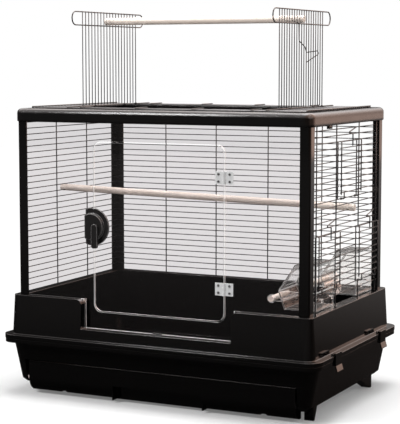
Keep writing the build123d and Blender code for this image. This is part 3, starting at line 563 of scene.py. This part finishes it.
@dataclass(frozen=True)
class DarkSteel:
    """Dark steel of small screws and pins."""

    name: str
    colour: Point
    edge: float = 0.6
    edge_gain: float = 3.0
    rough: tuple[float, float] = (0.28, 0.45)
    bump: float = 0.00003
    bump_strength: float = 0.2

    def build(self, effects: SurfaceEffects) -> bpy.types.Material:
        """Makes the material.

        Args:
            effects: the shared node groups.

        Returns:
            The finished material.
        """
        material, tree = new_material(self.name)
        rubbed = tree.place(effects.edge, Amount=self.edge)["Mask"]
        bright = tuple(min(1.0, c * self.edge_gain) for c in self.colour)
        low, high = self.rough
        gloss = tree.place(effects.gloss, Scale=300.0, Low=low, High=high)
        tree.shade({
            "Base Color": tree.mix(rubbed, self.colour, bright),
            "Metallic": 1.0,
            "Roughness": gloss["Roughness"],
            "Normal": tree.bump(gloss["Height"], self.bump_strength, self.bump),
        })
        return material


@dataclass
class Finishes:
    """Every finish on the cage, built once."""

    effects: SurfaceEffects
    black: bpy.types.Material = field(init=False)
    rail: bpy.types.Material = field(init=False)
    latch: bpy.types.Material = field(init=False)
    wire: bpy.types.Material = field(init=False)
    clear: bpy.types.Material = field(init=False)
    feeder: bpy.types.Material = field(init=False)
    hinge: bpy.types.Material = field(init=False)
    wood_x: bpy.types.Material = field(init=False)
    wood_y: bpy.types.Material = field(init=False)
    steel: bpy.types.Material = field(init=False)

    def __post_init__(self) -> None:
        """Builds the materials."""
        # Paler colour of dust and edges; on edges it is partly rubbed wear, partly a painted
        # highlight.
        rubbed = (0.032, 0.028, 0.027)
        self.black = Moulded(
            "black_moulded", (0.0018, 0.0017, 0.0017), rubbed, rough=(0.05, 0.12),
            dust=0.25, edge=0.12, edge_r=0.002, specular=0.45,
        ).build(self.effects)
        # The rail is a lighter copy of the same black plastic, with a wide paler edge band:
        # painted sheen along its rounded edges.
        self.rail = Moulded(
            "rail_moulded_painted_sheen", (0.0030, 0.0028, 0.0028), rubbed, rough=(0.08, 0.17),
            dust=0.25, edge=0.12, edge_r=0.009,
        ).build(self.effects)
        # The latch is a lighter copy of the black plastic with strongly paler edges: a painted
        # glint round its rims.
        self.latch = Moulded(
            "latch_moulded_painted_glint", (0.014, 0.013, 0.013), (0.42, 0.40, 0.40), rough=(0.10, 0.20),
            dust=0.2, edge=0.75, edge_r=0.0022,
        ).build(self.effects)
        self.wire = Moulded(
            "black_wire_coat", (0.022, 0.021, 0.022), (0.06, 0.06, 0.06), rough=(0.25, 0.38),
            dust=0.1, edge=0.0, edge_r=0.0002, grain_scale=180.0,
        ).build(self.effects)
        # edge_glow is a painted glow on the edges of the clear sheet, feeders and hinges.
        self.clear = ClearPlastic(
            "clear_sheet", (0.76, 0.74, 0.75), 1.0, rough=(0.0, 0.02), edge_glow=0.32,
        ).build(self.effects)
        self.feeder = ClearPlastic(
            "feeder_moulding", (0.94, 0.93, 0.92), 1.0, rough=(0.02, 0.08), edge_glow=0.30,
            edges=Edges.MOULDED, edge_rough=0.3,
        ).build(self.effects)
        self.hinge = ClearPlastic(
            "hinge_moulding", (0.97, 0.97, 0.97), 0.15, rough=(0.12, 0.25), edge_glow=0.12,
            edges=Edges.MOULDED,
        ).build(self.effects)
        self.wood_x = PaleWood("wood_long_perch", (9.0, 260.0, 260.0)).build(self.effects)
        self.wood_y = PaleWood("wood_feeder_stick", (260.0, 9.0, 260.0)).build(self.effects)
        self.steel = DarkSteel("dark_steel", (0.22, 0.22, 0.225)).build(self.effects)


# Geometry helpers


def rounded_route(corners: Sequence[Vector], radius: float, steps: int = 6) -> list[Vector]:
    """Rounds the corners of a bent wire's route.

    Args:
        corners: the route's ends and bend points.
        radius: bend radius in metres.
        steps: points along each bend.

    Returns:
        Points along the rounded route.
    """
    longest_share = 0.45
    route = [corners[0].copy()]
    for before, corner, after in zip(corners, corners[1:], corners[2:]):
        back, ahead = (before - corner).normalized(), (after - corner).normalized()
        half = back.angle(ahead) / 2
        reach = min(
            radius / math.tan(half),
            longest_share * (before - corner).length,
            longest_share * (after - corner).length,
        )
        bend_r = reach * math.tan(half)
        centre = corner + (back + ahead).normalized() * (bend_r / math.sin(half))
        start = (corner + back * reach - centre).normalized()
        end = (corner + ahead * reach - centre).normalized()
        for step in range(steps + 1):
            route.append(centre + start.slerp(end, step / steps).normalized() * bend_r)
    route.append(corners[-1].copy())
    return route


@dataclass
class WireMesh:
    """Collects round wires into one mesh."""

    sides: int = 12
    tip: float = 0.45
    eye_points: int = 16
    eye_wire_r: float = 0.00075
    eye_turns: tuple[float, ...] = (-0.0016, 0.0, 0.0016)
    mesh: bmesh.types.BMesh = field(default_factory=bmesh.new)

    def ring(self, centre: Vector, across: Vector, along: Vector, radius: float) -> list:
        """Adds one ring of vertices.

        Args:
            centre: middle of the ring.
            across: unit vector across the wire.
            along: unit vector along the wire.
            radius: radius of the ring.

        Returns:
            The ring's vertices.
        """
        other = along.cross(across)
        turn = math.tau / self.sides
        return [
            self.mesh.verts.new(
                centre + radius * (math.cos(k * turn) * across + math.sin(k * turn) * other)
            )
            for k in range(self.sides)
        ]

    def join(self, first: list, second: list) -> None:
        """Joins two rings with faces."""
        for k in range(self.sides):
            after = (k + 1) % self.sides
            face = self.mesh.faces.new((first[k], first[after], second[after], second[k]))
            face.smooth = True

    def sweep(self, route: Sequence[Vector], radius: float, end: End = End.OPEN) -> None:
        """Adds a wire along a route.

        Args:
            route: points along the wire's middle.
            radius: the wire's radius.
            end: whether the wire ends or closes on itself.
        """
        count = len(route)
        loop = end is End.LOOP
        tangents = []
        for k in range(count):
            before = route[k - 1] if loop or k else route[0]
            after = route[(k + 1) % count] if loop or k < count - 1 else route[-1]
            tangents.append((after - before).normalized())
        across = tangents[0].orthogonal().normalized()
        rings = []
        for k, (point, along) in enumerate(zip(route, tangents)):
            if k:
                across = tangents[k - 1].rotation_difference(along) @ across
            if not loop and k == 0:
                rings.append(self.ring(point, across, along, radius * (1 - self.tip)))
                point = point + along * radius * self.tip
            if not loop and k == count - 1:
                rings.append(
                    self.ring(point - along * radius * self.tip, across, along, radius)
                )
                rings.append(self.ring(point, across, along, radius * (1 - self.tip)))
                continue
            rings.append(self.ring(point, across, along, radius))
        for first, second in zip(rings, rings[1:]):
            self.join(first, second)
        if loop:
            self.join(rings[-1], rings[0])
        else:
            self.mesh.faces.new(list(reversed(rings[0])))
            self.mesh.faces.new(rings[-1])

    def along(self, axis: Axis, line: Point, start: float, end: float, radius: float) -> None:
        """Adds a straight wire that runs along one axis.

        Args:
            axis: the axis.
            line: any point on the wire's line.
            start: where the wire starts along the axis.
            end: where it ends.
            radius: the wire's radius.
        """
        ends = Vector(line), Vector(line)
        ends[0][axis], ends[1][axis] = start, end
        self.sweep(ends, radius)

    def eye(self, x: float, y: float, z: float, radius: float) -> None:
        """Winds an eye round a hinge line along Y.

        Args:
            x: the hinge line's X.
            y: middle of the eye.
            z: the hinge line's height.
            radius: radius of the turns.
        """
        turn = math.tau / self.eye_points
        around = [
            (x + radius * math.cos(k * turn), z + radius * math.sin(k * turn))
            for k in range(self.eye_points)
        ]
        for shift in self.eye_turns:
            route = [Vector((px, y + shift, pz)) for px, pz in around]
            self.sweep(route, self.eye_wire_r, End.LOOP)

    def finish(self, name: str) -> bpy.types.Object:
        """Makes the object from the collected wires.

        Args:
            name: the object's name.

        Returns:
            The new object, in the scene.
        """
        bmesh.ops.recalc_face_normals(self.mesh, faces=self.mesh.faces)
        data = bpy.data.meshes.new(name)
        self.mesh.to_mesh(data)
        self.mesh.free()
        piece = bpy.data.objects.new(name, data)
        bpy.context.scene.collection.objects.link(piece)
        return piece


def dress(
    piece: bpy.types.Object,
    material: bpy.types.Material,
    body: str,
    nodes: Iterable[str],
) -> None:
    """Gives a new piece its material, its body and the nodes that it stands for.

    Args:
        piece: the new piece.
        material: its material.
        body: the body it rides on.
        nodes: nodes that it replaces.
    """
    piece.data.materials.clear()
    piece.data.materials.append(material)
    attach(piece, body)
    for node in nodes:
        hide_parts(node)
    log.info("piece %s on %s", piece.name, body)


def dress_nodes(frame: dict, names: Iterable[str], material: bpy.types.Material) -> None:
    """Gives CAD nodes a material.

    Args:
        frame: the loaded frame.
        names: the nodes' names.
        material: the material.
    """
    for name in names:
        node = frame["nodes"][name]
        node.data.materials.clear()
        node.data.materials.append(material)
        log.info("node %s dressed with %s", name, material.name)


@dataclass
class Span:
    """Box of a node, read from the frame."""

    node: str
    low: Vector = field(init=False)
    high: Vector = field(init=False)

    def __post_init__(self) -> None:
        """Reads the node's corners."""
        self.low, self.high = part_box(self.node)

    def middle(self, axis: Axis) -> float:
        """Middle of the box along an axis."""
        return (self.low[axis] + self.high[axis]) / 2

    def centre(self) -> Point:
        """Middle of the box."""
        return self.middle(Axis.X), self.middle(Axis.Y), self.middle(Axis.Z)


@dataclass
class Wires:
    """Wire sizes shared by every grid on the cage."""

    pitch: float = 0.01425
    wire_r: float = 0.0011
    upright_r: float = 0.0014
    solid_share: float = 0.9

    def rows(self, span: Span) -> list[float]:
        """Heights of the level wires that fill a node's box.

        Args:
            span: the node's box.

        Returns:
            The wires' middles.
        """
        half = self.wire_r * self.solid_share
        count = round((span.high.z - span.low.z - 2 * half) / self.pitch)
        return [span.low.z + half + k * self.pitch for k in range(count + 1)]

    def level(self, wires: WireMesh, span: Span, axis: Axis) -> None:
        """Adds the level wires that fill a node's box.

        Args:
            wires: mesh that takes them.
            span: the node's box.
            axis: axis they run along.
        """
        x, y, _ = span.centre()
        for z in self.rows(span):
            wires.along(axis, (x, y, z), span.low[axis], span.high[axis], self.wire_r)


@dataclass
class Mouldings:
    """Base, skirt, posts, roof frame, clips and the rest of the black plastic."""

    frame: dict
    finishes: Finishes

    def build(self) -> None:
        """Dresses the black mouldings."""
        posts = [f"post_{end}_{side}" for end in ("front", "back") for side in ("left", "right")]
        clips = [f"clip_{side}_{end}" for end in ("front", "back") for side in ("left", "right")]
        names = ["base_housing", "drawer", "skirt", *posts, *clips]
        dress_nodes(self.frame, names, self.finishes.black)
        # The roof frame takes the lighter copy of the black plastic, a painted sheen.
        dress_nodes(self.frame, ("roof_frame",), self.finishes.rail)


@dataclass
class FrontDoor:
    """Clear front panel and door, with hinges and latch."""

    frame: dict
    finishes: Finishes

    def build(self) -> None:
        """Dresses the sheets, hinges, screws and latch."""
        dress_nodes(self.frame, ("front_panel", "front_door"), self.finishes.clear)
        for level in ("lower", "upper"):
            for leaf in ("panel", "door"):
                dress_nodes(self.frame, (f"hinge_{level}_{leaf}_leaf",), self.finishes.hinge)
                dress_nodes(self.frame, (f"hinge_{level}_{leaf}_screws",), self.finishes.steel)
            dress_nodes(self.frame, (f"hinge_{level}_pin",), self.finishes.steel)
        latch = ("latch_housing", "latch_lever", "latch_cam")
        dress_nodes(self.frame, latch, self.finishes.latch)


@dataclass
class WireWalls:
    """Back, left and right wire panels."""

    finishes: Finishes
    wires: Wires
    back_upright_xs: tuple[float, ...] = (-0.2142, -0.0714, 0.0714, 0.2142)
    left_upright_ys: tuple[float, ...] = (-0.0714, 0.0714)
    right_upright_ys: tuple[float, ...] = (-0.190, -0.0714, 0.0714, 0.190)
    door_middles: tuple[tuple[float, int], ...] = ((0.010, 15), (-0.121, 1), (0.130, 1))
    door_rows: int = 9
    opening_half: float = 0.060

    def build(self) -> None:
        """Builds the three panels."""
        self.plain_panel("back", Axis.X, self.back_upright_xs)
        self.plain_panel("left", Axis.Y, self.left_upright_ys)
        self.right_panel()

    def plain_panel(self, side: str, axis: Axis, places: tuple[float, ...]) -> None:
        """Builds a panel without openings.

        Args:
            side: the panel's side of the cage.
            axis: axis that its level wires run along.
            places: where its uprights stand along that axis.
        """
        upright = Span(f"{side}_uprights")
        wires = WireMesh()
        self.wires.level(wires, Span(f"{side}_wires"), axis)
        for place in places:
            line = list(upright.centre())
            line[axis] = place
            wires.along(Axis.Z, line, upright.low.z, upright.high.z, self.wires.upright_r)
        self.dress_panel(wires, side)

    def dress_panel(self, wires: WireMesh, side: str) -> None:
        """Finishes a panel's mesh and dresses it."""
        nodes = (f"{side}_wires", f"{side}_uprights")
        dress(wires.finish(f"{side}_grid"), self.finishes.wire, "cage", nodes)

    def spans(self, row: int, start: float, end: float) -> list[tuple[float, float]]:
        """Stretches of one right-hand wire that the door openings leave.

        Args:
            row: the wire's row.
            start: front end of the panel.
            end: back end of the panel.

        Returns:
            Pairs of ends along Y.
        """
        edges = [start]
        for middle, hinge in sorted(self.door_middles):
            if hinge < row < hinge + self.door_rows:
                edges += [middle - self.opening_half, middle + self.opening_half]
        edges.append(end)
        return list(zip(edges[::2], edges[1::2]))

    def right_panel(self) -> None:
        """Builds the right panel, with the feeder-door openings."""
        level, upright = Span("right_wires"), Span("right_uprights")
        wires = WireMesh()
        rows, x = self.wires.rows(level), level.middle(Axis.X)
        wire_r, upright_r = self.wires.wire_r, self.wires.upright_r
        for row, z in enumerate(rows):
            for start, end in self.spans(row, level.low.y, level.high.y):
                wires.along(Axis.Y, (x, 0.0, z), start, end, wire_r)
        half = upright_r * self.wires.solid_share
        outer_x, inner_x = upright.high.x - half, upright.low.x + half
        for y in self.right_upright_ys:
            pieces = [(upright.low.z, upright.high.z)]
            for middle, hinge in self.door_middles:
                if abs(y - middle) < self.opening_half:
                    low, high = pieces.pop()
                    top = rows[hinge + self.door_rows]
                    pieces = [(low, rows[hinge] + wire_r), (top - wire_r, high)]
            for low, high in pieces:
                wires.along(Axis.Z, (outer_x, y, 0.0), low, high, upright_r)
        for middle, hinge in self.door_middles:
            low, high = rows[hinge], rows[hinge + self.door_rows]
            for y in (middle - self.opening_half, middle + self.opening_half):
                wires.along(Axis.Z, (inner_x, y, 0.0), low, high, upright_r)
        self.dress_panel(wires, "right")


@dataclass
class Roof:
    """Fixed roof grille, the two upright flaps and the bent latch wire."""

    finishes: Finishes
    wires: Wires
    open_rows: int = 9
    strip_rows: int = 5
    strip_uprights: tuple[float, ...] = (0.0714, 0.2142)
    eye_rows: tuple[int, ...] = (-9, -5, 5, 9)
    eye_gap: float = 0.0038
    eye_r: float = 0.0022
    foot_gap: float = 0.0004
    hoop_r: float = 0.0015
    hoop_steps: int = 12
    latch_bend: float = 0.004
    latch_route: tuple[tuple[float, float], ...] = (
        (-0.012, 0.0), (-0.010, -0.038), (0.026, -0.052), (0.035, -0.064), (0.104, -0.060),
        (0.111, -0.067), (0.033, -0.087),
    )

    def build(self) -> None:
        """Builds the grille, the flaps and the latch wire."""
        self.grille()
        self.flap("flap_left")
        self.flap("flap_right")
        self.latch()

    def grille(self) -> None:
        """Builds the fixed grille round the roof opening."""
        cross, long = Span("roof_cross_wires"), Span("roof_long_wires")
        hinge_x = Span("flap_right_wires").middle(Axis.X)
        cross_z, long_z = cross.middle(Axis.Z), long.middle(Axis.Z)
        pitch, wire_r, upright_r = self.wires.pitch, self.wires.wire_r, self.wires.upright_r
        front, back = long.low.y, long.high.y
        wires = WireMesh()
        for row in range(self.open_rows + 1, self.open_rows + 1 + self.strip_rows):
            for y in (-row * pitch, row * pitch):
                wires.along(Axis.X, (0.0, y, cross_z), cross.low.x, cross.high.x, wire_r)
        for side, edge in ((-1, cross.low.x), (1, cross.high.x)):
            for row in range(-self.open_rows, self.open_rows + 1):
                inner = self.eye_gap if row in self.eye_rows else -upright_r
                start = side * (hinge_x + inner)
                wires.along(Axis.X, (0.0, row * pitch, cross_z), start, edge, wire_r)
            for x in (edge - side * upright_r, side * hinge_x):
                wires.along(Axis.Y, (x, 0.0, long_z), front, back, upright_r)
        strip = (self.open_rows + 1) * pitch - wire_r
        for x in self.strip_uprights:
            for side in (-1, 1):
                for start, end in ((strip, back), (front, -strip)):
                    wires.along(Axis.Y, (side * x, 0.0, long_z), start, end, upright_r)
        nodes = ("roof_cross_wires", "roof_long_wires")
        dress(wires.finish("roof_grille"), self.finishes.wire, "cage", nodes)

    def flap(self, name: str) -> None:
        """Builds one flap with its eyes and hoop.

        Args:
            name: the flap's body.
        """
        bars, hoop = Span(f"{name}_wires"), Span(f"{name}_hoop")
        hinge_z = Span("roof_long_wires").middle(Axis.Z)
        x = bars.middle(Axis.X)
        foot = hinge_z + self.wires.upright_r + self.foot_gap
        wires = WireMesh()
        for row in range(-self.open_rows, self.open_rows + 1):
            y = row * self.wires.pitch
            start = hinge_z + self.eye_r if row in self.eye_rows else foot
            wires.along(Axis.Z, (x, y, 0.0), start, bars.high.z, self.wires.wire_r)
            if row in self.eye_rows:
                wires.eye(x, y, hinge_z, self.eye_r)
        loop_r = (hoop.high.z - hoop.low.z) / 2 - self.hoop_r
        reach = hoop.high.y - self.hoop_r - loop_r
        middle_z, hoop_x = hoop.middle(Axis.Z), hoop.middle(Axis.X)
        turns = [math.pi * (k / self.hoop_steps - 0.5) for k in range(self.hoop_steps + 1)]
        route = []
        for side in (1, -1):
            for turn in turns:
                out, rise = side * loop_r * math.cos(turn), side * loop_r * math.sin(turn)
                route.append(Vector((hoop_x, side * reach + out, middle_z + rise)))
        wires.sweep(route, self.hoop_r, End.LOOP)
        nodes = (f"{name}_wires", f"{name}_hoop")
        dress(wires.finish(f"{name}_grid"), self.finishes.wire, name, nodes)

    def latch(self) -> None:
        """Builds the bent latch wire on the right flap."""
        span, hoop = Span("flap_latch"), Span("flap_right_hoop")
        x, bar_z = span.middle(Axis.X), hoop.low.z + self.hoop_r
        corners = [Vector((x, y, bar_z + dz)) for y, dz in self.latch_route]
        wires = WireMesh()
        wires.sweep(rounded_route(corners, self.latch_bend), self.wires.wire_r)
        piece = wires.finish("flap_latch_wire")
        dress(piece, self.finishes.wire, "flap_right", ("flap_latch",))


@dataclass
class FeedingSide:
    """Feeder doors, hooded feeders and their sticks on the right side."""

    frame: dict
    finishes: Finishes
    wires: Wires
    eye_inset: float = 0.020
    eye_r: float = 0.0019
    eye_bend: float = 0.003
    side_foot: float = 0.010
    leg_y: float = 0.007
    leg_h: float = 0.015
    leg_root: float = 0.012
    handle_half: float = 0.027
    handle_tilt: float = 0.003
    handle_rise: float = 0.014
    handle_bend: float = 0.002

    def build(self) -> None:
        """Builds the doors and dresses the feeders."""
        for name in ("upper", "front", "rear"):
            self.door(name)
        for name in ("front", "rear"):
            cups = (f"feeder_cup_{name}", f"feeder_hood_{name}")
            dress_nodes(self.frame, cups, self.finishes.feeder)
            dress_nodes(self.frame, (f"feeder_stick_{name}",), self.finishes.wood_y)

    def door(self, name: str) -> None:
        """Builds one drop-down door.

        Args:
            name: which door.
        """
        level = Span(f"feeder_door_{name}_wires")
        edge = Span(f"feeder_door_{name}_frame")
        wires = WireMesh()
        rows, radius = self.wires.rows(level), self.wires.upright_r
        hinge_x, x = Span("right_wires").middle(Axis.X), edge.high.x - radius
        axis_z, middle_y = rows[0] - self.wires.pitch, level.middle(Axis.Y)
        self.wires.level(wires, level, Axis.Y)
        for y in (level.low.y + radius, level.high.y - radius):
            wires.along(Axis.Z, (x, y, 0.0), axis_z + self.side_foot, edge.high.z, radius)
        half = (level.high.y - level.low.y) / 2 - self.eye_inset
        for y in (middle_y - half, middle_y + half):
            corners = [
                Vector((hinge_x + self.eye_r, y, axis_z)),
                Vector((x, y, axis_z)),
                Vector((x, y, rows[0] + self.wires.wire_r)),
            ]
            wires.sweep(rounded_route(corners, self.eye_bend), radius)
            wires.eye(hinge_x, y, axis_z, self.eye_r)
        leg_top = rows[-1] + self.leg_h
        corners = [
            Vector((x, middle_y + self.leg_y, rows[-1] - self.leg_root)),
            Vector((x, middle_y + self.leg_y, leg_top)),
            Vector((x, middle_y - self.handle_half, leg_top + self.handle_tilt)),
            Vector((x, middle_y + self.handle_half, leg_top + self.handle_rise)),
        ]
        wires.sweep(rounded_route(corners, self.handle_bend), radius)
        body = f"feeder_door_{name}"
        nodes = [f"{body}_{part}" for part in ("wires", "frame", "handle")]
        dress(wires.finish(f"{body}_grid"), self.finishes.wire, body, nodes)


@dataclass
class Perches:
    """The two long wooden perches."""

    frame: dict
    finishes: Finishes

    def build(self) -> None:
        """Dresses the perches."""
        dress_nodes(self.frame, ("top_perch", "inner_perch"), self.finishes.wood_x)


@dataclass(frozen=True)
class Lamp:
    """A soft square lamp."""

    name: str
    place: Point
    size: float
    power: float

    def hang(self, target: Point) -> None:
        """Adds the lamp to the scene.

        Args:
            target: the point that it is aimed at.
        """
        data = bpy.data.lights.new(self.name, "AREA")
        data.size = self.size
        data.energy = self.power
        lamp = bpy.data.objects.new(self.name, data)
        lamp.location = self.place
        aim = Vector(target) - Vector(self.place)
        lamp.rotation_euler = aim.to_track_quat("-Z", "Y").to_euler()
        bpy.context.scene.collection.objects.link(lamp)


@dataclass
class Studio:
    """Floor, backdrop, lamps and camera.

    What is seen directly or through clear plastic is white. What the gloss mirrors is a
    dim room, brighter behind, to the right and overhead.
    """

    camera_at: Point = (1.508235, -3.073113, 0.778302)
    camera_yaw: float = 26.246
    camera_pitch: float = 5.908
    focal_px: float = 1450.775
    image_h: float = 424.0
    sensor: float = 36.0
    lamps: tuple[Lamp, ...] = (
        Lamp("key", (-1.6, -2.6, 2.6), 0.7, 66.0),
        Lamp("fill", (2.8, -0.6, 2.0), 1.2, 16.0),
        Lamp("top", (0.2, 0.2, 3.0), 2.0, 100.0),
    )
    aim: Point = (0.0, 0.0, 0.4)
    soft_light: float = 0.24
    floor_colour: Point = (0.93, 0.93, 0.93)
    floor_half: float = 8.0
    floor_rough: float = 0.95
    floor_specular: float = 0.1
    footprint: Point = (0.40, 0.27, 0.0)
    bounce_cut: float = 0.7
    white_floor: Ramp = Ramp(0.0, 0.32, 0.15, 1.0)
    floor_behind: Ramp = Ramp(0.8, 5.0, 0.01, 0.5)
    floor_in_front: Ramp = Ramp(-0.6, -3.0, 0.0, 0.12)
    room_tint: Point = (1.0, 0.93, 0.91)
    warm_tint: Point = (1.0, 0.64, 0.50)
    warm_right: Ramp = Ramp(0.0, 0.45)
    patch_scale: float = 9.0
    patches: Ramp = Ramp(0.35, 0.65, 0.6, 2.1)
    right_side: Ramp = Ramp(-0.46, 0.3, 0.04)
    back_wall: Ramp = Ramp(-0.2, 0.6, 0.12)
    above: Ramp = Ramp(0.24, 0.6)
    ceiling: Ramp = Ramp(0.0, 0.85, 2.0, 5.0)

    def build(self) -> None:
        """Builds the studio."""
        scene = bpy.context.scene
        scene.view_settings.view_transform = "Standard"
        self.floor()
        self.world(scene)
        for lamp in self.lamps:
            lamp.hang(self.aim)
        self.camera(scene)

    def seen_and_mirrored(self, tree: Shading) -> tuple[Socket, Socket]:
        """Masks of what is seen directly or through clear plastic, and of what is mirrored.

        Args:
            tree: tree of the floor or the world.

        Returns:
            The two masks.
        """
        path, none_yet = tree.add("LightPath").outputs, 0.5
        direct = tree.maths("MAXIMUM", path["Is Camera Ray"], path["Is Transmission Ray"])
        undiffused = tree.maths("LESS_THAN", path["Diffuse Depth"], none_yet)
        unmirrored = tree.maths("LESS_THAN", path["Glossy Depth"], none_yet)
        clean = tree.maths("MULTIPLY", undiffused, unmirrored)
        mirrored = tree.maths("SUBTRACT", undiffused, unmirrored, clamp=True)
        return tree.maths("MULTIPLY", clean, direct), mirrored

    def floor(self) -> None:
        """Lays a plain pale floor that keeps the shadow and turns white further out."""
        mesh = bmesh.new()
        half = self.floor_half
        corners = [(-half, -half), (half, -half), (half, half), (-half, half)]
        mesh.faces.new([mesh.verts.new((x, y, 0.0)) for x, y in corners])
        data = bpy.data.meshes.new("floor")
        mesh.to_mesh(data)
        mesh.free()
        floor = bpy.data.objects.new("floor", data)
        bpy.context.scene.collection.objects.link(floor)
        material, tree = new_material("floor_paper")
        place = tree.coords("Object")
        beyond = tree.vector("SUBTRACT", tree.vector("ABSOLUTE", place), self.footprint)
        distance = tree.vector("LENGTH", tree.vector("MAXIMUM", beyond))
        white = tree.remap(distance, *self.white_floor, curve="SMOOTHSTEP")
        y = tree.split(place)[Axis.Y]
        behind, in_front = tree.remap(y, *self.floor_behind), tree.remap(y, *self.floor_in_front)
        seen, mirrored = self.seen_and_mirrored(tree)
        shown = tree.maths("MULTIPLY", white, seen)
        room = tree.maths("MULTIPLY", tree.maths("ADD", behind, in_front), mirrored)
        diffuse = tree.add("LightPath").outputs["Is Diffuse Ray"]
        bounced = tree.remap(diffuse, low=shown, high=self.bounce_cut)
        hidden = tree.maths("MAXIMUM", bounced, mirrored)
        tree.shade({
            "Base Color": tree.mix(hidden, self.floor_colour, BLACK),
            "Roughness": self.floor_rough,
            "Specular IOR Level": self.floor_specular,
            "Emission Color": tree.mix(mirrored, WHITE, self.room_tint),
            "Emission Strength": tree.maths("ADD", shown, room),
        })
        data.materials.append(material)

    def world(self, scene: bpy.types.Scene) -> None:
        """Sets a white backdrop, an even soft light and a room for gloss to mirror.

        Args:
            scene: the scene.
        """
        world = bpy.data.worlds.new("studio")
        scene.world = world
        world.use_nodes = True
        tree = Shading(world.node_tree)
        seen, mirrored = self.seen_and_mirrored(tree)
        direction = tree.coords("Generated")
        x, y, z = tree.split(direction)
        patches = tree.remap(tree.noise(direction, self.patch_scale), *self.patches)
        to_the_right = tree.remap(x, *self.right_side[:3], high=patches)
        behind = tree.remap(y, *self.back_wall[:3], high=to_the_right)
        overhead = tree.remap(z, *self.above[:3], high=tree.remap(y, *self.ceiling))
        room = tree.maths("ADD", behind, overhead)
        light = tree.remap(mirrored, low=self.soft_light, high=room)
        warmth = tree.remap(x, *self.warm_right)
        tint = tree.mix(warmth, self.room_tint, self.warm_tint)
        background = tree.tree.nodes["Background"]
        tree.feed(background.inputs["Strength"], tree.remap(seen, low=light, high=1.0))
        tree.feed(background.inputs["Color"], tree.mix(mirrored, WHITE, tint))

    def camera(self, scene: bpy.types.Scene) -> None:
        """Sets the camera at the photograph's view.

        Args:
            scene: the scene.
        """
        data = bpy.data.cameras.new("view")
        data.sensor_fit = "VERTICAL"
        data.sensor_height = self.sensor
        data.lens = self.focal_px * self.sensor / self.image_h
        data.clip_end = 50.0
        camera = bpy.data.objects.new("view", data)
        camera.location = self.camera_at
        camera.rotation_euler = (
            math.radians(90.0 - self.camera_pitch), 0.0, math.radians(self.camera_yaw)
        )
        scene.collection.objects.link(camera)
        scene.camera = camera


def main() -> None:
    """Builds every sub-assembly and the studio."""
    logging.basicConfig(level=logging.INFO, format="%(name)s: %(message)s")
    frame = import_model()
    finishes = Finishes(SurfaceEffects())
    wires = Wires()
    Mouldings(frame, finishes).build()
    FrontDoor(frame, finishes).build()
    WireWalls(finishes, wires).build()
    Roof(finishes, wires).build()
    FeedingSide(frame, finishes, wires).build()
    Perches(frame, finishes).build()
    Studio().build()


if __name__ == "__main__":
    main()
